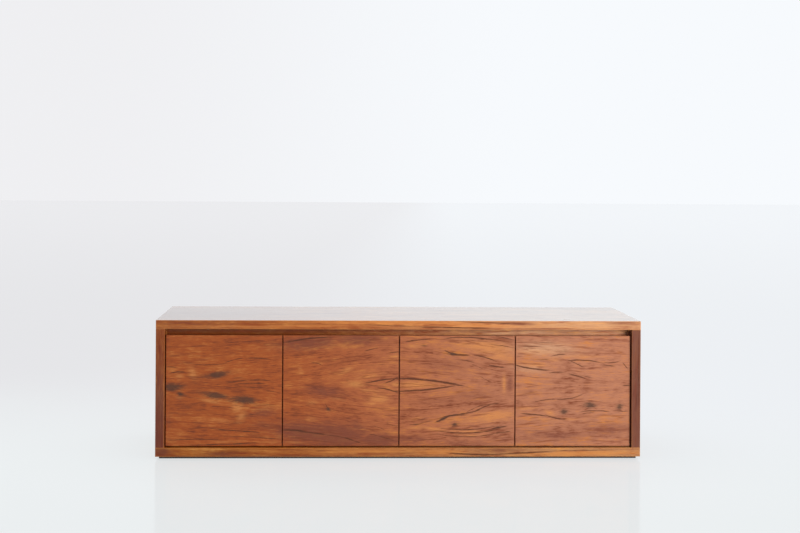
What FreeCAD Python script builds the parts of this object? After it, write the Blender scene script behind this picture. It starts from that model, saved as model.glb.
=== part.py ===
"""Office credenza with four inset doors on concealed cup hinges.

A low veneered cabinet on a recessed plinth. Top and bottom boards run through, the sides
stand between them, and a centre partition makes two bays with one shelf each. The doors
stop short of the top, so a finger gap runs over them, closed behind by a recessed rail.

Frame: X along the width, Y from front to back, Z up, in millimetres. The origin is the
centre of the base, on the floor.
"""
import FreeCAD
import Part
import math
import os

Vec = FreeCAD.Vector
UP = Vec(0, 0, 1)

# --- overall ---------------------------------------------------------------------------
WIDTH = 2100.0
DEPTH = 480.0
HEIGHT = 600.0

# --- plinth and glides -----------------------------------------------------------------
PLINTH_HEIGHT = 12.0            # floor to the underside of the bottom board
PLINTH_SETBACK = 15.0           # carcass edge to plinth, on all four sides
PLINTH_RAIL_WIDTH = 60.0
PLINTH_CROSS_COUNT = 3
GLIDE_STAND = 2.0               # glide showing below the plinth
GLIDE_DIAMETER = 26.0
GLIDE_BEVEL = 0.6
GLIDE_NAIL_DIAMETER = 2.4
GLIDE_NAIL_LENGTH = 8.0

# --- carcass boards --------------------------------------------------------------------
TOP_THICK = 38.0
BOTTOM_THICK = 38.0
SIDE_THICK = 38.0
PARTITION_THICK = 30.0
ARRIS = 1.5                     # eased edge of the carcass boards
BACK_THICK = 6.0
BACK_INSET = 15.0               # back edge of the boards to the back panel
GROOVE_DEPTH = 8.0
GROOVE_CLEAR = 0.2              # each side of the back panel in its groove
DOWEL_DIAMETER = 8.0
DOWEL_LENGTH = 36.0
DOWEL_IN_EDGE = 23.0            # part of a dowel that sits in the end of a board
DOWEL_END_CLEAR = 1.0
DOWEL_COUNT = 4
DOWEL_FRONT = 70.0              # first dowel from the front edge
DOWEL_REAR = 60.0               # last dowel from the back edge

# --- doors -----------------------------------------------------------------------------
DOOR_THICK = 22.0
DOOR_RECESS = 15.0              # carcass front edges to the door fronts
DOOR_GAP = 4.0                  # between doors, and beside the outer ones
DOOR_BOTTOM_GAP = 4.0
FINGER_GAP = 28.0               # door top to the underside of the top
DOOR_EASE = 1.0
FINGER_BEVEL = 9.0              # bevel along the back of each door's top edge
PARTITION_CLEAR = 2.0           # door backs to the partition

# --- front rail behind the finger gap --------------------------------------------------
RAIL_BEHIND_DOOR = 20.0
RAIL_THICK = 18.0
RAIL_HEIGHT = 60.0
RAIL_NOTCH_CLEAR = 0.3
RAIL_DOWEL_SPACING = 28.0
RAIL_DOWEL_IN_SIDE = 12.0

# --- shelves ---------------------------------------------------------------------------
SHELF_THICK = 25.0
SHELF_END_CLEAR = 1.0
SHELF_FRONT_SETBACK = 14.0      # door backs to the shelf's front edge
SHELF_BACK_CLEAR = 4.0
SHELF_HEIGHT = 255.0            # bottom board to the underside of the shelf
SUPPORT_PEG_DIAMETER = 5.0
SUPPORT_PEG_LENGTH = 9.0
SUPPORT_HOLE_DEPTH = 10.0
SUPPORT_WIDTH = 12.0
SUPPORT_TALL = 13.0
SUPPORT_REACH = 9.0
SUPPORT_PLATE = 1.6
SUPPORT_PEG_BELOW = 8.0         # shelf underside to the peg's axis
SUPPORT_FRONT = 50.0            # shelf's front edge to the front supports
SUPPORT_REAR = 60.0
SUPPORT_PITCH = 32.0
SUPPORT_STEPS = 2               # spare holes above and below each support

# --- magnetic catches, strikes and bumpers ---------------------------------------------
CATCH_LENGTH = 32.0
CATCH_EAR = 11.0
CATCH_EAR_THICK = 3.0
CATCH_TALL = 14.0
CATCH_BELOW = 7.0               # door top to the top of the catch, plus its bevel
CATCH_FROM_EDGE = 60.0          # door's free edge to the catch's middle
POLE_THICK = 1.5
POLE_LENGTH = 26.0
POLE_SHOWS = 1.3
POLE_DEEP = 6.0
STRIKE_THICK = 1.2
STRIKE_LENGTH = 38.0
STRIKE_TALL = 12.0
CATCH_CLEAR = 0.3               # pole plates to the strike
BUMPER_DIAMETER = 8.0
BUMPER_CLEAR = 0.3
STOP_LENGTH = 44.0
STOP_DEEP = 14.0
STOP_TALL = 14.0
STOP_BEHIND = 2.2               # door backs to the stop blocks
STOP_BUMPER_SPACING = 24.0

# --- small screws ----------------------------------------------------------------------
SCREW_HEAD_HEIGHT = 1.8
SCREW_SLOT_WIDTH = 0.9
SCREW_SLOT_DEPTH = 0.7
PLINTH_SCREW_SHANK = 3.4
PLINTH_SCREW_HEAD = 8.0
PLINTH_SCREW_LENGTH = 30.0
CATCH_SCREW_SHANK = 2.6
CATCH_SCREW_HEAD = 5.2
CATCH_SCREW_LENGTH = 12.0
CUP_SCREW_SHANK = 2.8
CUP_SCREW_HEAD = 6.4
CUP_SCREW_LENGTH = 11.0
PLATE_SCREW_SHANK = 5.0
PLATE_SCREW_HEAD = 8.2
PLATE_SCREW_LENGTH = 12.0
ARM_SCREW_SHANK = 4.0
ARM_SCREW_HEAD = 7.0
ARM_SCREW_LENGTH = 7.0

# --- concealed hinges ------------------------------------------------------------------
# A hinge is drawn for a door hung on its left edge, in its own frame: U from that edge
# into the door, V from the door's back towards the rear, W up from the hinge's middle.
HINGE_FROM_END = 100.0          # door's top and bottom edges to the hinges
CUP_DIAMETER = 35.0
CUP_DEPTH = 14.2
CUP_WALL = 1.0
CUP_FROM_EDGE = 4.0             # door edge to the rim of the bore
BORE_CLEAR = 0.1
WING_THICK = 1.2
WING_WIDTH = 21.0
WING_LENGTH = 62.0
WING_SCREW_SPACING = 48.0
WING_SCREW_OFFSET = 5.5         # screws from the cup's middle, into the door
THROAT_REACH = 4.5              # the cup's wall is cut down where the links pass
THROAT_DEPTH = 7.0
THROAT_HALF = 8.5
ARM_PIVOT = (28.75, 17.8)       # outer link on the arm
SLOT_PIVOT = (40.6, 6.7)        # inner link in the arm's slot, doors shut
CUP_OUTER_PIVOT = (10.6, -7.1)
CUP_INNER_PIVOT = (15.0, -10.2)
OUTER_KNEE = (30.55, -8.3)      # bend of the outer link
INNER_KNEE = (25.0, -11.6)
LINK_THICK = 2.2
EYE_RADIUS = 2.6
PIN_RADIUS = 1.25
PIN_CLEAR = 0.05                # radial, in every running hole
INNER_LINK_HALF = 3.4           # half widths along W, from the middle outwards
CHEEK_INNER = 3.7
CHEEK_OUTER = 5.2
ARM_HALF = 7.2
ARM_METAL = 1.3
SLOT_CLEAR = 0.45
DOOR_SWING = 90.0
OUTER_RATIO = -0.352            # turn of each link per turn of the door
INNER_RATIO = -0.253
ARM_BACK = 76.0                 # V of the arm's rear end
ARM_CRANK_START = 24.0
ARM_CRANK_END = 40.0
ARM_TALL = 10.0                 # arm's height over its panel, behind the crank
ARM_OVER_PLATE = 1.0
PLATE_SETBACK = 48.0            # V of the mounting plate's middle
PLATE_LENGTH = 46.0
PLATE_THICK = 3.0
PLATE_WIDTH = 16.0
PLATE_WING = 12.0
PLATE_SCREW_SPACING = 32.0
PLATE_BOSS_CLEAR = 0.2

# --- derived places --------------------------------------------------------------------
FRONT = -DEPTH / 2
BACK = DEPTH / 2
HALF = WIDTH / 2
INNER_HALF = HALF - SIDE_THICK
PART_HALF = PARTITION_THICK / 2
FLOOR_TOP = PLINTH_HEIGHT + BOTTOM_THICK
TOP_UNDER = HEIGHT - TOP_THICK
DOOR_FRONT = FRONT + DOOR_RECESS
DOOR_BACK = DOOR_FRONT + DOOR_THICK
DOOR_LOW = FLOOR_TOP + DOOR_BOTTOM_GAP
DOOR_HIGH = TOP_UNDER - FINGER_GAP
DOOR_WIDTH = (2 * INNER_HALF - 5 * DOOR_GAP) / 4
DOOR_PITCH = DOOR_WIDTH + DOOR_GAP
PARTITION_FRONT = DOOR_BACK + PARTITION_CLEAR
RAIL_FRONT = DOOR_BACK + RAIL_BEHIND_DOOR
RAIL_BACK = RAIL_FRONT + RAIL_THICK
RAIL_LOW = TOP_UNDER - RAIL_HEIGHT
BACK_FACE = BACK - BACK_INSET
BACK_PANEL_FRONT = BACK_FACE - BACK_THICK
SHELF_FRONT = DOOR_BACK + SHELF_FRONT_SETBACK
SHELF_BACK = BACK_PANEL_FRONT - SHELF_BACK_CLEAR
SHELF_UNDER = FLOOR_TOP + SHELF_HEIGHT
HINGE_HEIGHTS = (DOOR_LOW + HINGE_FROM_END, DOOR_HIGH - HINGE_FROM_END)
CUP_U = CUP_FROM_EDGE + CUP_DIAMETER / 2
PLATE_V = PLATE_SETBACK
CATCH_HIGH = DOOR_HIGH - FINGER_BEVEL - CATCH_BELOW
CATCH_MID = CATCH_HIGH - CATCH_TALL / 2

# name, edge that carries the hinges, +1 when that is the left edge, panel's U
DOORS = (
    ("left_outer", -INNER_HALF + DOOR_GAP, 1, -DOOR_GAP),
    ("left_inner", -DOOR_GAP / 2, -1, PART_HALF - DOOR_GAP / 2),
    ("right_inner", DOOR_GAP / 2, 1, PART_HALF - DOOR_GAP / 2),
    ("right_outer", INNER_HALF - DOOR_GAP, -1, -DOOR_GAP),
)


# --- small helpers ---------------------------------------------------------------------
def block(x, y, z):
    """Box between the two values of each pair."""
    return Part.makeBox(x[1] - x[0], y[1] - y[0], z[1] - z[0], Vec(x[0], y[0], z[0]))


def rod(radius, start, end):
    """Cylinder from one point to another."""
    axis = end - start
    return Part.makeCylinder(radius, axis.Length, start, axis)


def fused(shapes):
    """One solid made of overlapping or touching solids."""
    joined = shapes[0].multiFuse(shapes[1:])
    return joined.removeSplitter()


def cut_all(shape, tools):
    """Shape with every tool taken away."""
    return shape.cut(Part.makeCompound(tools)) if tools else shape


def eased(shape, radius, wanted):
    """Fillet the straight edges whose middle passes the test."""
    edges = [edge for edge in shape.Edges if wanted(edge)]
    return shape.makeFillet(radius, edges)


def runs_along(edge, axis):
    """True for an edge parallel to the given unit axis."""
    ends = [vertex.Point for vertex in edge.Vertexes]
    span = ends[-1] - ends[0]
    return abs(abs(span.dot(axis)) - span.Length) < 1e-6


def prism(outline, low, high):
    """Extrude a closed plan outline, given as (x, y) points, from low to high."""
    wire = Part.makePolygon([Vec(x, y, low) for x, y in outline + outline[:1]])
    return Part.Face(wire).extrude(Vec(0, 0, high - low))


def capsule(start, end, radius, low, high):
    """Round-ended bar in plan between two points, from low to high."""
    a = Vec(start[0], start[1], low)
    b = Vec(end[0], end[1], low)
    along = (b - a).normalize()
    side = Vec(-along.y, along.x, 0) * radius
    outline = Part.Wire([
        Part.LineSegment(a + side, b + side).toShape(),
        Part.Arc(b + side, b + along * radius, b - side).toShape(),
        Part.LineSegment(b - side, a - side).toShape(),
        Part.Arc(a - side, a - along * radius, a + side).toShape(),
    ])
    return Part.Face(outline).extrude(Vec(0, 0, high - low))


def spaced(first, last, count):
    """Evenly spaced values, both ends included."""
    step = (last - first) / (count - 1)
    return [first + step * number for number in range(count)]


def screw(shank, head, length, place, inward):
    """Slotted screw with a tapered head; its seat is at place, its shank goes inward."""
    crown = SCREW_HEAD_HEIGHT
    profile = Part.makePolygon([
        Vec(0, 0, -length), Vec(shank / 2, 0, -length), Vec(shank / 2, 0, 0),
        Vec(head / 2, 0, 0), Vec(head / 2, 0, crown * 0.4), Vec(head / 3, 0, crown),
        Vec(0, 0, crown), Vec(0, 0, -length)])
    body = Part.Face(profile).revolve(Vec(0, 0, 0), UP, 360)
    slot = block((-head, head), (-SCREW_SLOT_WIDTH / 2, SCREW_SLOT_WIDTH / 2),
                 (SCREW_HEAD_HEIGHT - SCREW_SLOT_DEPTH, 2 * SCREW_HEAD_HEIGHT))
    body = body.cut(slot)
    body.Placement = FreeCAD.Placement(place, FreeCAD.Rotation(UP, -inward))
    return body


def save(name, shapes):
    """Write one node: a single solid, or several alike."""
    solids = [solid for shape in shapes for solid in shape.Solids]
    node = solids[0] if len(solids) == 1 else Part.makeCompound(solids)
    node.exportStep(os.path.join("parts", name + ".step"))


# --- carcass ---------------------------------------------------------------------------
def dowel_rows():
    """Y of the dowels in a side, and in the partition behind its notch."""
    last = BACK - DOWEL_REAR
    side = spaced(FRONT + DOWEL_FRONT, last, DOWEL_COUNT)
    partition = spaced(RAIL_BACK + DOWEL_DIAMETER * 2, last, DOWEL_COUNT)
    return side, partition


def dowel_places():
    """X and Y of each upright dowel, at the sides and the partition."""
    side, partition = dowel_rows()
    middle = HALF - SIDE_THICK / 2
    places = [(sign * middle, y) for sign in (-1, 1) for y in side]
    return places + [(0, y) for y in partition]


def upright_dowels(clear):
    """Dowels through both end joints of the uprights, with extra length at each end."""
    in_board = DOWEL_LENGTH - DOWEL_IN_EDGE
    bars = []
    for x, y in dowel_places():
        for joint, out in ((FLOOR_TOP, -1), (TOP_UNDER, 1)):
            tip = Vec(x, y, joint + out * (in_board + clear))
            root = Vec(x, y, joint - out * (DOWEL_IN_EDGE + clear))
            bars.append(rod(DOWEL_DIAMETER / 2, root, tip))
    return bars


def rail_dowels(clear):
    """Dowels that join the front rail to the sides."""
    middle = (TOP_UNDER + RAIL_LOW) / 2
    depth = (RAIL_FRONT + RAIL_BACK) / 2
    bars = []
    for sign in (-1, 1):
        for step in (-0.5, 0.5):
            height = middle + step * RAIL_DOWEL_SPACING
            outer = sign * (INNER_HALF + RAIL_DOWEL_IN_SIDE + clear)
            inner = sign * (INNER_HALF + RAIL_DOWEL_IN_SIDE - DOWEL_LENGTH - clear)
            bars.append(rod(DOWEL_DIAMETER / 2, Vec(outer, depth, height),
                            Vec(inner, depth, height)))
    return bars


def back_grooves():
    """The space that both back panels need in the boards around them."""
    reach = GROOVE_DEPTH
    across = (BACK_PANEL_FRONT - GROOVE_CLEAR, BACK_FACE + GROOVE_CLEAR)
    tall = (FLOOR_TOP - reach, TOP_UNDER + reach)
    left = block((-INNER_HALF - reach, -PART_HALF + reach), across, tall)
    right = block((PART_HALF - reach, INNER_HALF + reach), across, tall)
    return [left, right]


def back_panel(sign):
    """Thin panel that stands in the grooves of one bay."""
    reach = GROOVE_DEPTH - GROOVE_CLEAR
    ends = sorted((sign * (INNER_HALF + reach), sign * (PART_HALF - reach)))
    return block(ends, (BACK_PANEL_FRONT, BACK_FACE),
                 (FLOOR_TOP - reach, TOP_UNDER + reach))


def through_board(low, high, tools):
    """Top or bottom board, eased all round."""
    board = block((-HALF, HALF), (FRONT, BACK), (low, high))
    board = board.makeFillet(ARRIS, board.Edges)
    return cut_all(board, tools)


def side_panel(sign, tools):
    """Upright end of the carcass, eased along its four upright edges."""
    ends = sorted((sign * INNER_HALF, sign * HALF))
    board = block(ends, (FRONT, BACK), (FLOOR_TOP, TOP_UNDER))
    board = eased(board, ARRIS, lambda edge: runs_along(edge, UP))
    return cut_all(board, tools)


def partition(tools):
    """Centre upright, notched at the top for the front rail."""
    board = block((-PART_HALF, PART_HALF), (PARTITION_FRONT, BACK_FACE),
                  (FLOOR_TOP, TOP_UNDER))
    notch = block((-PART_HALF, PART_HALF),
                  (PARTITION_FRONT, RAIL_BACK + RAIL_NOTCH_CLEAR),
                  (RAIL_LOW - RAIL_NOTCH_CLEAR, TOP_UNDER))
    return cut_all(board, [notch] + tools)


def front_rail():
    """Recessed rail that closes the finger gap, eased along its lower front edge."""
    board = block((-INNER_HALF, INNER_HALF), (RAIL_FRONT, RAIL_BACK),
                  (RAIL_LOW, TOP_UNDER))
    board = eased(board, DOOR_EASE, lambda edge: runs_along(edge, Vec(1, 0, 0))
                  and edge.CenterOfMass.z < RAIL_LOW + 1
                  and edge.CenterOfMass.y < RAIL_FRONT + 1)
    return cut_all(board, rail_dowels(DOWEL_END_CLEAR))


# --- plinth ----------------------------------------------------------------------------
PLINTH_X = HALF - PLINTH_SETBACK
PLINTH_Y = DEPTH / 2 - PLINTH_SETBACK
PLINTH_Z = (GLIDE_STAND, PLINTH_HEIGHT)


def plinth_long(sign):
    """Front or back rail of the plinth."""
    ends = sorted((sign * PLINTH_Y, sign * (PLINTH_Y - PLINTH_RAIL_WIDTH)))
    return block((-PLINTH_X, PLINTH_X), ends, PLINTH_Z)


def plinth_short(x):
    """Rail from front to back between the long ones, its outer face at x."""
    across = sorted((x, x - math.copysign(PLINTH_RAIL_WIDTH, x)))
    inner = PLINTH_Y - PLINTH_RAIL_WIDTH
    return block(across, (-inner, inner), PLINTH_Z)


def plinth_cross_xs():
    """Middle of each cross rail."""
    reach = PLINTH_X - PLINTH_RAIL_WIDTH / 2
    return spaced(-reach, reach, PLINTH_CROSS_COUNT + 2)[1:-1]


def plinth_stations():
    """X and Y where the long rails are screwed up and stand on glides."""
    reach = PLINTH_X - PLINTH_RAIL_WIDTH / 2
    depth = PLINTH_Y - PLINTH_RAIL_WIDTH / 2
    xs = [-reach] + plinth_cross_xs() + [reach]
    return [(x, y) for x in xs for y in (-depth, depth)]


def short_rail_screws():
    """X and Y of the screws in the end and cross rails."""
    reach = PLINTH_X - PLINTH_RAIL_WIDTH / 2
    depth = (PLINTH_Y - PLINTH_RAIL_WIDTH) / 2
    xs = [-reach] + plinth_cross_xs() + [reach]
    return [(x, y) for x in xs for y in (-depth, depth)]


def plinth_screw_places():
    """Screws stand beside the glides on the long rails."""
    aside = GLIDE_DIAMETER
    beside = [(x - math.copysign(aside, x), y) for x, y in plinth_stations()]
    return beside + short_rail_screws()


def plinth_screws():
    """Screws that hold the plinth up against the bottom board."""
    seat = GLIDE_STAND + SCREW_HEAD_HEIGHT
    return [screw(PLINTH_SCREW_SHANK, PLINTH_SCREW_HEAD, PLINTH_SCREW_LENGTH,
                  Vec(x, y, seat), UP) for x, y in plinth_screw_places()]


def plinth_holes():
    """Screw holes, counterbored so that the heads stay above the plinth's underside."""
    seat = GLIDE_STAND + SCREW_HEAD_HEIGHT
    holes = []
    for x, y in plinth_screw_places():
        holes.append(rod(PLINTH_SCREW_SHANK / 2, Vec(x, y, 0),
                         Vec(x, y, seat + PLINTH_SCREW_LENGTH)))
        holes.append(rod(PLINTH_SCREW_HEAD / 2 + BORE_CLEAR, Vec(x, y, 0),
                         Vec(x, y, seat)))
    return holes


def glide(x, y):
    """Round glide with a bevelled rim and a nail."""
    pad = Part.makeCylinder(GLIDE_DIAMETER / 2, GLIDE_STAND, Vec(x, y, 0))
    rim = [edge for edge in pad.Edges if edge.CenterOfMass.z < GLIDE_BEVEL]
    pad = pad.makeChamfer(GLIDE_BEVEL, rim)
    return fused([pad, rod(GLIDE_NAIL_DIAMETER / 2, Vec(x, y, GLIDE_STAND / 2),
                           Vec(x, y, GLIDE_STAND + GLIDE_NAIL_LENGTH))])


def glide_holes():
    """Holes for the glides' nails."""
    return [rod(GLIDE_NAIL_DIAMETER / 2, Vec(x, y, 0),
                Vec(x, y, GLIDE_STAND + GLIDE_NAIL_LENGTH)) for x, y in plinth_stations()]


# --- shelves ---------------------------------------------------------------------------
def bay(sign):
    """Lower and upper X of one bay."""
    return sorted((sign * PART_HALF, sign * INNER_HALF))


def shelf(sign):
    """Loose shelf, eased along its front edges."""
    low, high = bay(sign)
    board = block((low + SHELF_END_CLEAR, high - SHELF_END_CLEAR),
                  (SHELF_FRONT, SHELF_BACK), (SHELF_UNDER, SHELF_UNDER + SHELF_THICK))
    return eased(board, DOOR_EASE, lambda edge: runs_along(edge, Vec(1, 0, 0))
                 and edge.CenterOfMass.y < SHELF_FRONT + 1)


def support_walls():
    """X of each wall with supports, and the way it faces."""
    return [(-INNER_HALF, 1), (-PART_HALF, -1), (PART_HALF, 1), (INNER_HALF, -1)]


def support_ys():
    """Y of the front and rear supports."""
    return (SHELF_FRONT + SUPPORT_FRONT, SHELF_BACK - SUPPORT_REAR)


def shelf_support(wall, facing, y):
    """Angle with a flat tab under the shelf and a peg in the wall."""
    half = SUPPORT_WIDTH / 2
    upright = block(sorted((wall, wall + facing * SUPPORT_PLATE)), (y - half, y + half),
                    (SHELF_UNDER - SUPPORT_TALL, SHELF_UNDER))
    tab = block(sorted((wall, wall + facing * SUPPORT_REACH)), (y - half, y + half),
                (SHELF_UNDER - SUPPORT_PLATE, SHELF_UNDER))
    tab = eased(tab, SUPPORT_WIDTH / 3, lambda edge: runs_along(edge, UP)
                and abs(edge.CenterOfMass.x - wall) > SUPPORT_PLATE)
    height = SHELF_UNDER - SUPPORT_PEG_BELOW
    peg = rod(SUPPORT_PEG_DIAMETER / 2, Vec(wall, y, height),
              Vec(wall - facing * SUPPORT_PEG_LENGTH, y, height))
    return fused([upright, tab, peg])


def support_holes():
    """Rows of peg holes above and below each support."""
    holes = []
    for wall, facing in support_walls():
        for y in support_ys():
            for step in range(-SUPPORT_STEPS, SUPPORT_STEPS + 1):
                height = SHELF_UNDER - SUPPORT_PEG_BELOW + step * SUPPORT_PITCH
                holes.append(rod(SUPPORT_PEG_DIAMETER / 2, Vec(wall, y, height),
                                 Vec(wall - facing * SUPPORT_HOLE_DEPTH, y, height)))
    return holes


# --- catches, stops and bumpers --------------------------------------------------------
def catch_xs():
    """Middle of each catch, one per door, near the door's free edge."""
    places = []
    for _, edge, sign, _ in DOORS:
        places.append(edge + sign * (DOOR_WIDTH - CATCH_FROM_EDGE))
    return places


def catch_front():
    """Y of the front of a catch's case."""
    return DOOR_BACK + STRIKE_THICK + CATCH_CLEAR + POLE_SHOWS


def pole_plates(x):
    """The two steel plates of a catch."""
    half = POLE_LENGTH / 2
    plates = []
    for side in (-1, 1):
        height = CATCH_MID + side * CATCH_TALL / 4
        plates.append(block((x - half, x + half),
                            (catch_front() - POLE_SHOWS, catch_front() + POLE_DEEP),
                            (height - POLE_THICK / 2, height + POLE_THICK / 2)))
    return plates


def catch_screw_places(x):
    """Screw seats on a catch's ears."""
    reach = CATCH_LENGTH / 2 + CATCH_EAR / 2
    seat = RAIL_FRONT - CATCH_EAR_THICK
    return [Vec(x + side * reach, seat, CATCH_MID) for side in (-1, 1)]


def catch_case(x):
    """Case with a screw ear on each side."""
    half = CATCH_LENGTH / 2
    tall = (CATCH_MID - CATCH_TALL / 2, CATCH_HIGH)
    case = block((x - half, x + half), (catch_front(), RAIL_FRONT), tall)
    case = eased(case, 1.0, lambda edge: edge.CenterOfMass.y < catch_front() + 1)
    ears = block((x - half - CATCH_EAR, x + half + CATCH_EAR),
                 (RAIL_FRONT - CATCH_EAR_THICK, RAIL_FRONT), tall)
    ears = eased(ears, CATCH_TALL / 3, lambda edge: runs_along(edge, Vec(0, 1, 0)))
    body = fused([case, ears])
    holes = [rod(CATCH_SCREW_SHANK / 2, seat, seat + Vec(0, CATCH_EAR_THICK, 0))
             for seat in catch_screw_places(x)]
    return cut_all(body, pole_plates(x) + holes)


def catch_screws():
    """Screws of every catch."""
    return [screw(CATCH_SCREW_SHANK, CATCH_SCREW_HEAD, CATCH_SCREW_LENGTH, seat,
                  Vec(0, 1, 0)) for x in catch_xs() for seat in catch_screw_places(x)]


def catch_screw_holes():
    """Pilot holes of the catch screws in the rail."""
    return [rod(CATCH_SCREW_SHANK / 2, seat, seat + Vec(0, CATCH_SCREW_LENGTH, 0))
            for x in catch_xs() for seat in catch_screw_places(x)]


def strike(x):
    """Steel plate on the back of a door, with rounded corners."""
    half = STRIKE_LENGTH / 2
    plate = block((x - half, x + half), (DOOR_BACK, DOOR_BACK + STRIKE_THICK),
                  (CATCH_MID - STRIKE_TALL / 2, CATCH_MID + STRIKE_TALL / 2))
    return eased(plate, STRIKE_TALL / 4, lambda edge: runs_along(edge, Vec(0, 1, 0)))


def stop_block(sign):
    """Wooden stop on the bottom board, behind the meeting edges of one bay's doors."""
    middle = sign * DOOR_PITCH
    front = DOOR_BACK + STOP_BEHIND
    body = block((middle - STOP_LENGTH / 2, middle + STOP_LENGTH / 2),
                 (front, front + STOP_DEEP), (FLOOR_TOP, FLOOR_TOP + STOP_TALL))
    return eased(body, DOOR_EASE, lambda edge: edge.CenterOfMass.z > FLOOR_TOP + 1)


def bumper(x, seat, z):
    """Tapered bumper stuck on a face at y = seat, pointing to the front."""
    thick = seat - DOOR_BACK - BUMPER_CLEAR
    return Part.makeCone(BUMPER_DIAMETER / 2, BUMPER_DIAMETER / 2 - thick / 2, thick,
                         Vec(x, seat, z), Vec(0, -1, 0))


def bumpers():
    """Two bumpers on each stop block, one for each of the doors that meet there."""
    pads = []
    for sign in (-1, 1):
        for side in (-0.5, 0.5):
            pads.append(bumper(sign * DOOR_PITCH + side * STOP_BUMPER_SPACING,
                               DOOR_BACK + STOP_BEHIND, FLOOR_TOP + STOP_TALL / 2))
    return pads


# --- hinges, in their own frame --------------------------------------------------------
def turned(point, centre, degrees):
    """Point swung about a centre; a positive angle opens a left-hung door."""
    angle = -math.radians(degrees)
    du = point[0] - centre[0]
    dv = point[1] - centre[1]
    return (centre[0] + du * math.cos(angle) - dv * math.sin(angle),
            centre[1] + du * math.sin(angle) + dv * math.cos(angle))


def slot_point(opening):
    """Where the inner link's tail pin is when the door stands at an angle."""
    cup_outer = turned(CUP_OUTER_PIVOT, ARM_PIVOT, OUTER_RATIO * opening)
    inner = (cup_outer[0] + CUP_INNER_PIVOT[0] - CUP_OUTER_PIVOT[0],
             cup_outer[1] + CUP_INNER_PIVOT[1] - CUP_OUTER_PIVOT[1])
    inner = turned(inner, cup_outer, opening)
    tail = (inner[0] + SLOT_PIVOT[0] - CUP_INNER_PIVOT[0],
            inner[1] + SLOT_PIVOT[1] - CUP_INNER_PIVOT[1])
    return turned(tail, inner, INNER_RATIO * opening)


def pin(centre, half, radius=PIN_RADIUS):
    """Round pin along W."""
    return Part.makeCylinder(radius, 2 * half, Vec(centre[0], centre[1], -half))


def cup_pin_half(centre):
    """Half length of a cup pin whose ends stay inside the cup's outer wall."""
    aside = abs(centre[0] - CUP_U) + PIN_RADIUS
    return math.sqrt((CUP_DIAMETER / 2) ** 2 - aside ** 2) - PIN_CLEAR


def hinge_cup():
    """Pressed cup with a screw wing above and below, pierced for its two pins."""
    middle = Vec(CUP_U, 0, 0)
    radius = CUP_DIAMETER / 2
    bottom = -CUP_DEPTH
    face = WING_THICK
    shell = rod(radius, middle + Vec(0, bottom, 0), middle + Vec(0, face, 0))
    shell = eased(shell, CUP_WALL, lambda edge: edge.CenterOfMass.y < bottom + 1)
    wing = block((CUP_U + WING_SCREW_OFFSET - WING_WIDTH / 2,
                  CUP_U + WING_SCREW_OFFSET + WING_WIDTH / 2),
                 (0, face), (-WING_LENGTH / 2, WING_LENGTH / 2))
    wing = eased(wing, WING_WIDTH / 3, lambda edge: runs_along(edge, Vec(0, 1, 0)))
    hollow = rod(radius - CUP_WALL, middle + Vec(0, bottom + CUP_WALL, 0),
                 middle + Vec(0, face + 1, 0))
    throat = block((0, CUP_FROM_EDGE + THROAT_REACH), (face - THROAT_DEPTH, face + 1),
                   (-THROAT_HALF, THROAT_HALF))
    tools = [hollow, throat, pin(CUP_OUTER_PIVOT, radius, PIN_RADIUS + PIN_CLEAR),
             pin(CUP_INNER_PIVOT, radius)]
    for seat in wing_screw_seats():
        tools.append(rod(CUP_SCREW_SHANK / 2, seat - Vec(0, WING_THICK, 0), seat))
    return cut_all(fused([shell, wing]), tools)


def wing_screw_seats():
    """Screw seats on the cup's wings."""
    return [Vec(CUP_U + WING_SCREW_OFFSET, WING_THICK, side * WING_SCREW_SPACING / 2)
            for side in (-1, 1)]


def cup_screws():
    """The screws of one cup."""
    return [screw(CUP_SCREW_SHANK, CUP_SCREW_HEAD, CUP_SCREW_LENGTH, seat, Vec(0, -1, 0))
            for seat in wing_screw_seats()]


def cup_bore():
    """What a door loses to one hinge: the cup's bore and two pilot holes."""
    middle = Vec(CUP_U, 0, 0)
    tools = [rod(CUP_DIAMETER / 2 + BORE_CLEAR,
                 middle - Vec(0, CUP_DEPTH + BORE_CLEAR, 0), middle + Vec(0, 1, 0))]
    for seat in wing_screw_seats():
        tools.append(rod(CUP_SCREW_SHANK / 2, seat - Vec(0, CUP_SCREW_LENGTH, 0), seat))
    return tools


def cup_pin():
    """Fixed pin of the cup, which the inner link turns on."""
    return pin(CUP_INNER_PIVOT, cup_pin_half(CUP_INNER_PIVOT))


def outer_link():
    """Cranked pair of cheeks riveted to two pins, one in the arm and one in the cup."""
    cheeks = []
    for low, high in ((CHEEK_INNER, CHEEK_OUTER), (-CHEEK_OUTER, -CHEEK_INNER)):
        for start, end in ((ARM_PIVOT, OUTER_KNEE), (OUTER_KNEE, CUP_OUTER_PIVOT)):
            cheeks.append(capsule(start, end, LINK_THICK / 2, low, high))
        for eye in (ARM_PIVOT, CUP_OUTER_PIVOT):
            cheeks.append(Part.makeCylinder(EYE_RADIUS, high - low,
                                            Vec(eye[0], eye[1], low)))
    arm_pin = pin(ARM_PIVOT, ARM_HALF)
    cup_end = pin(CUP_OUTER_PIVOT, cup_pin_half(CUP_OUTER_PIVOT))
    return fused(cheeks + [arm_pin, cup_end])


def inner_link():
    """Cranked plate with an eye on the cup's pin and a tail pin for the arm's slot."""
    half = INNER_LINK_HALF
    plates = [capsule(SLOT_PIVOT, INNER_KNEE, LINK_THICK / 2, -half, half),
              capsule(INNER_KNEE, CUP_INNER_PIVOT, LINK_THICK / 2, -half, half)]
    plates += [pin(eye, half, EYE_RADIUS) for eye in (SLOT_PIVOT, CUP_INNER_PIVOT)]
    plates.append(pin(SLOT_PIVOT, ARM_HALF))
    return fused(plates).cut(pin(CUP_INNER_PIVOT, half + 1, PIN_RADIUS + PIN_CLEAR))


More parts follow.
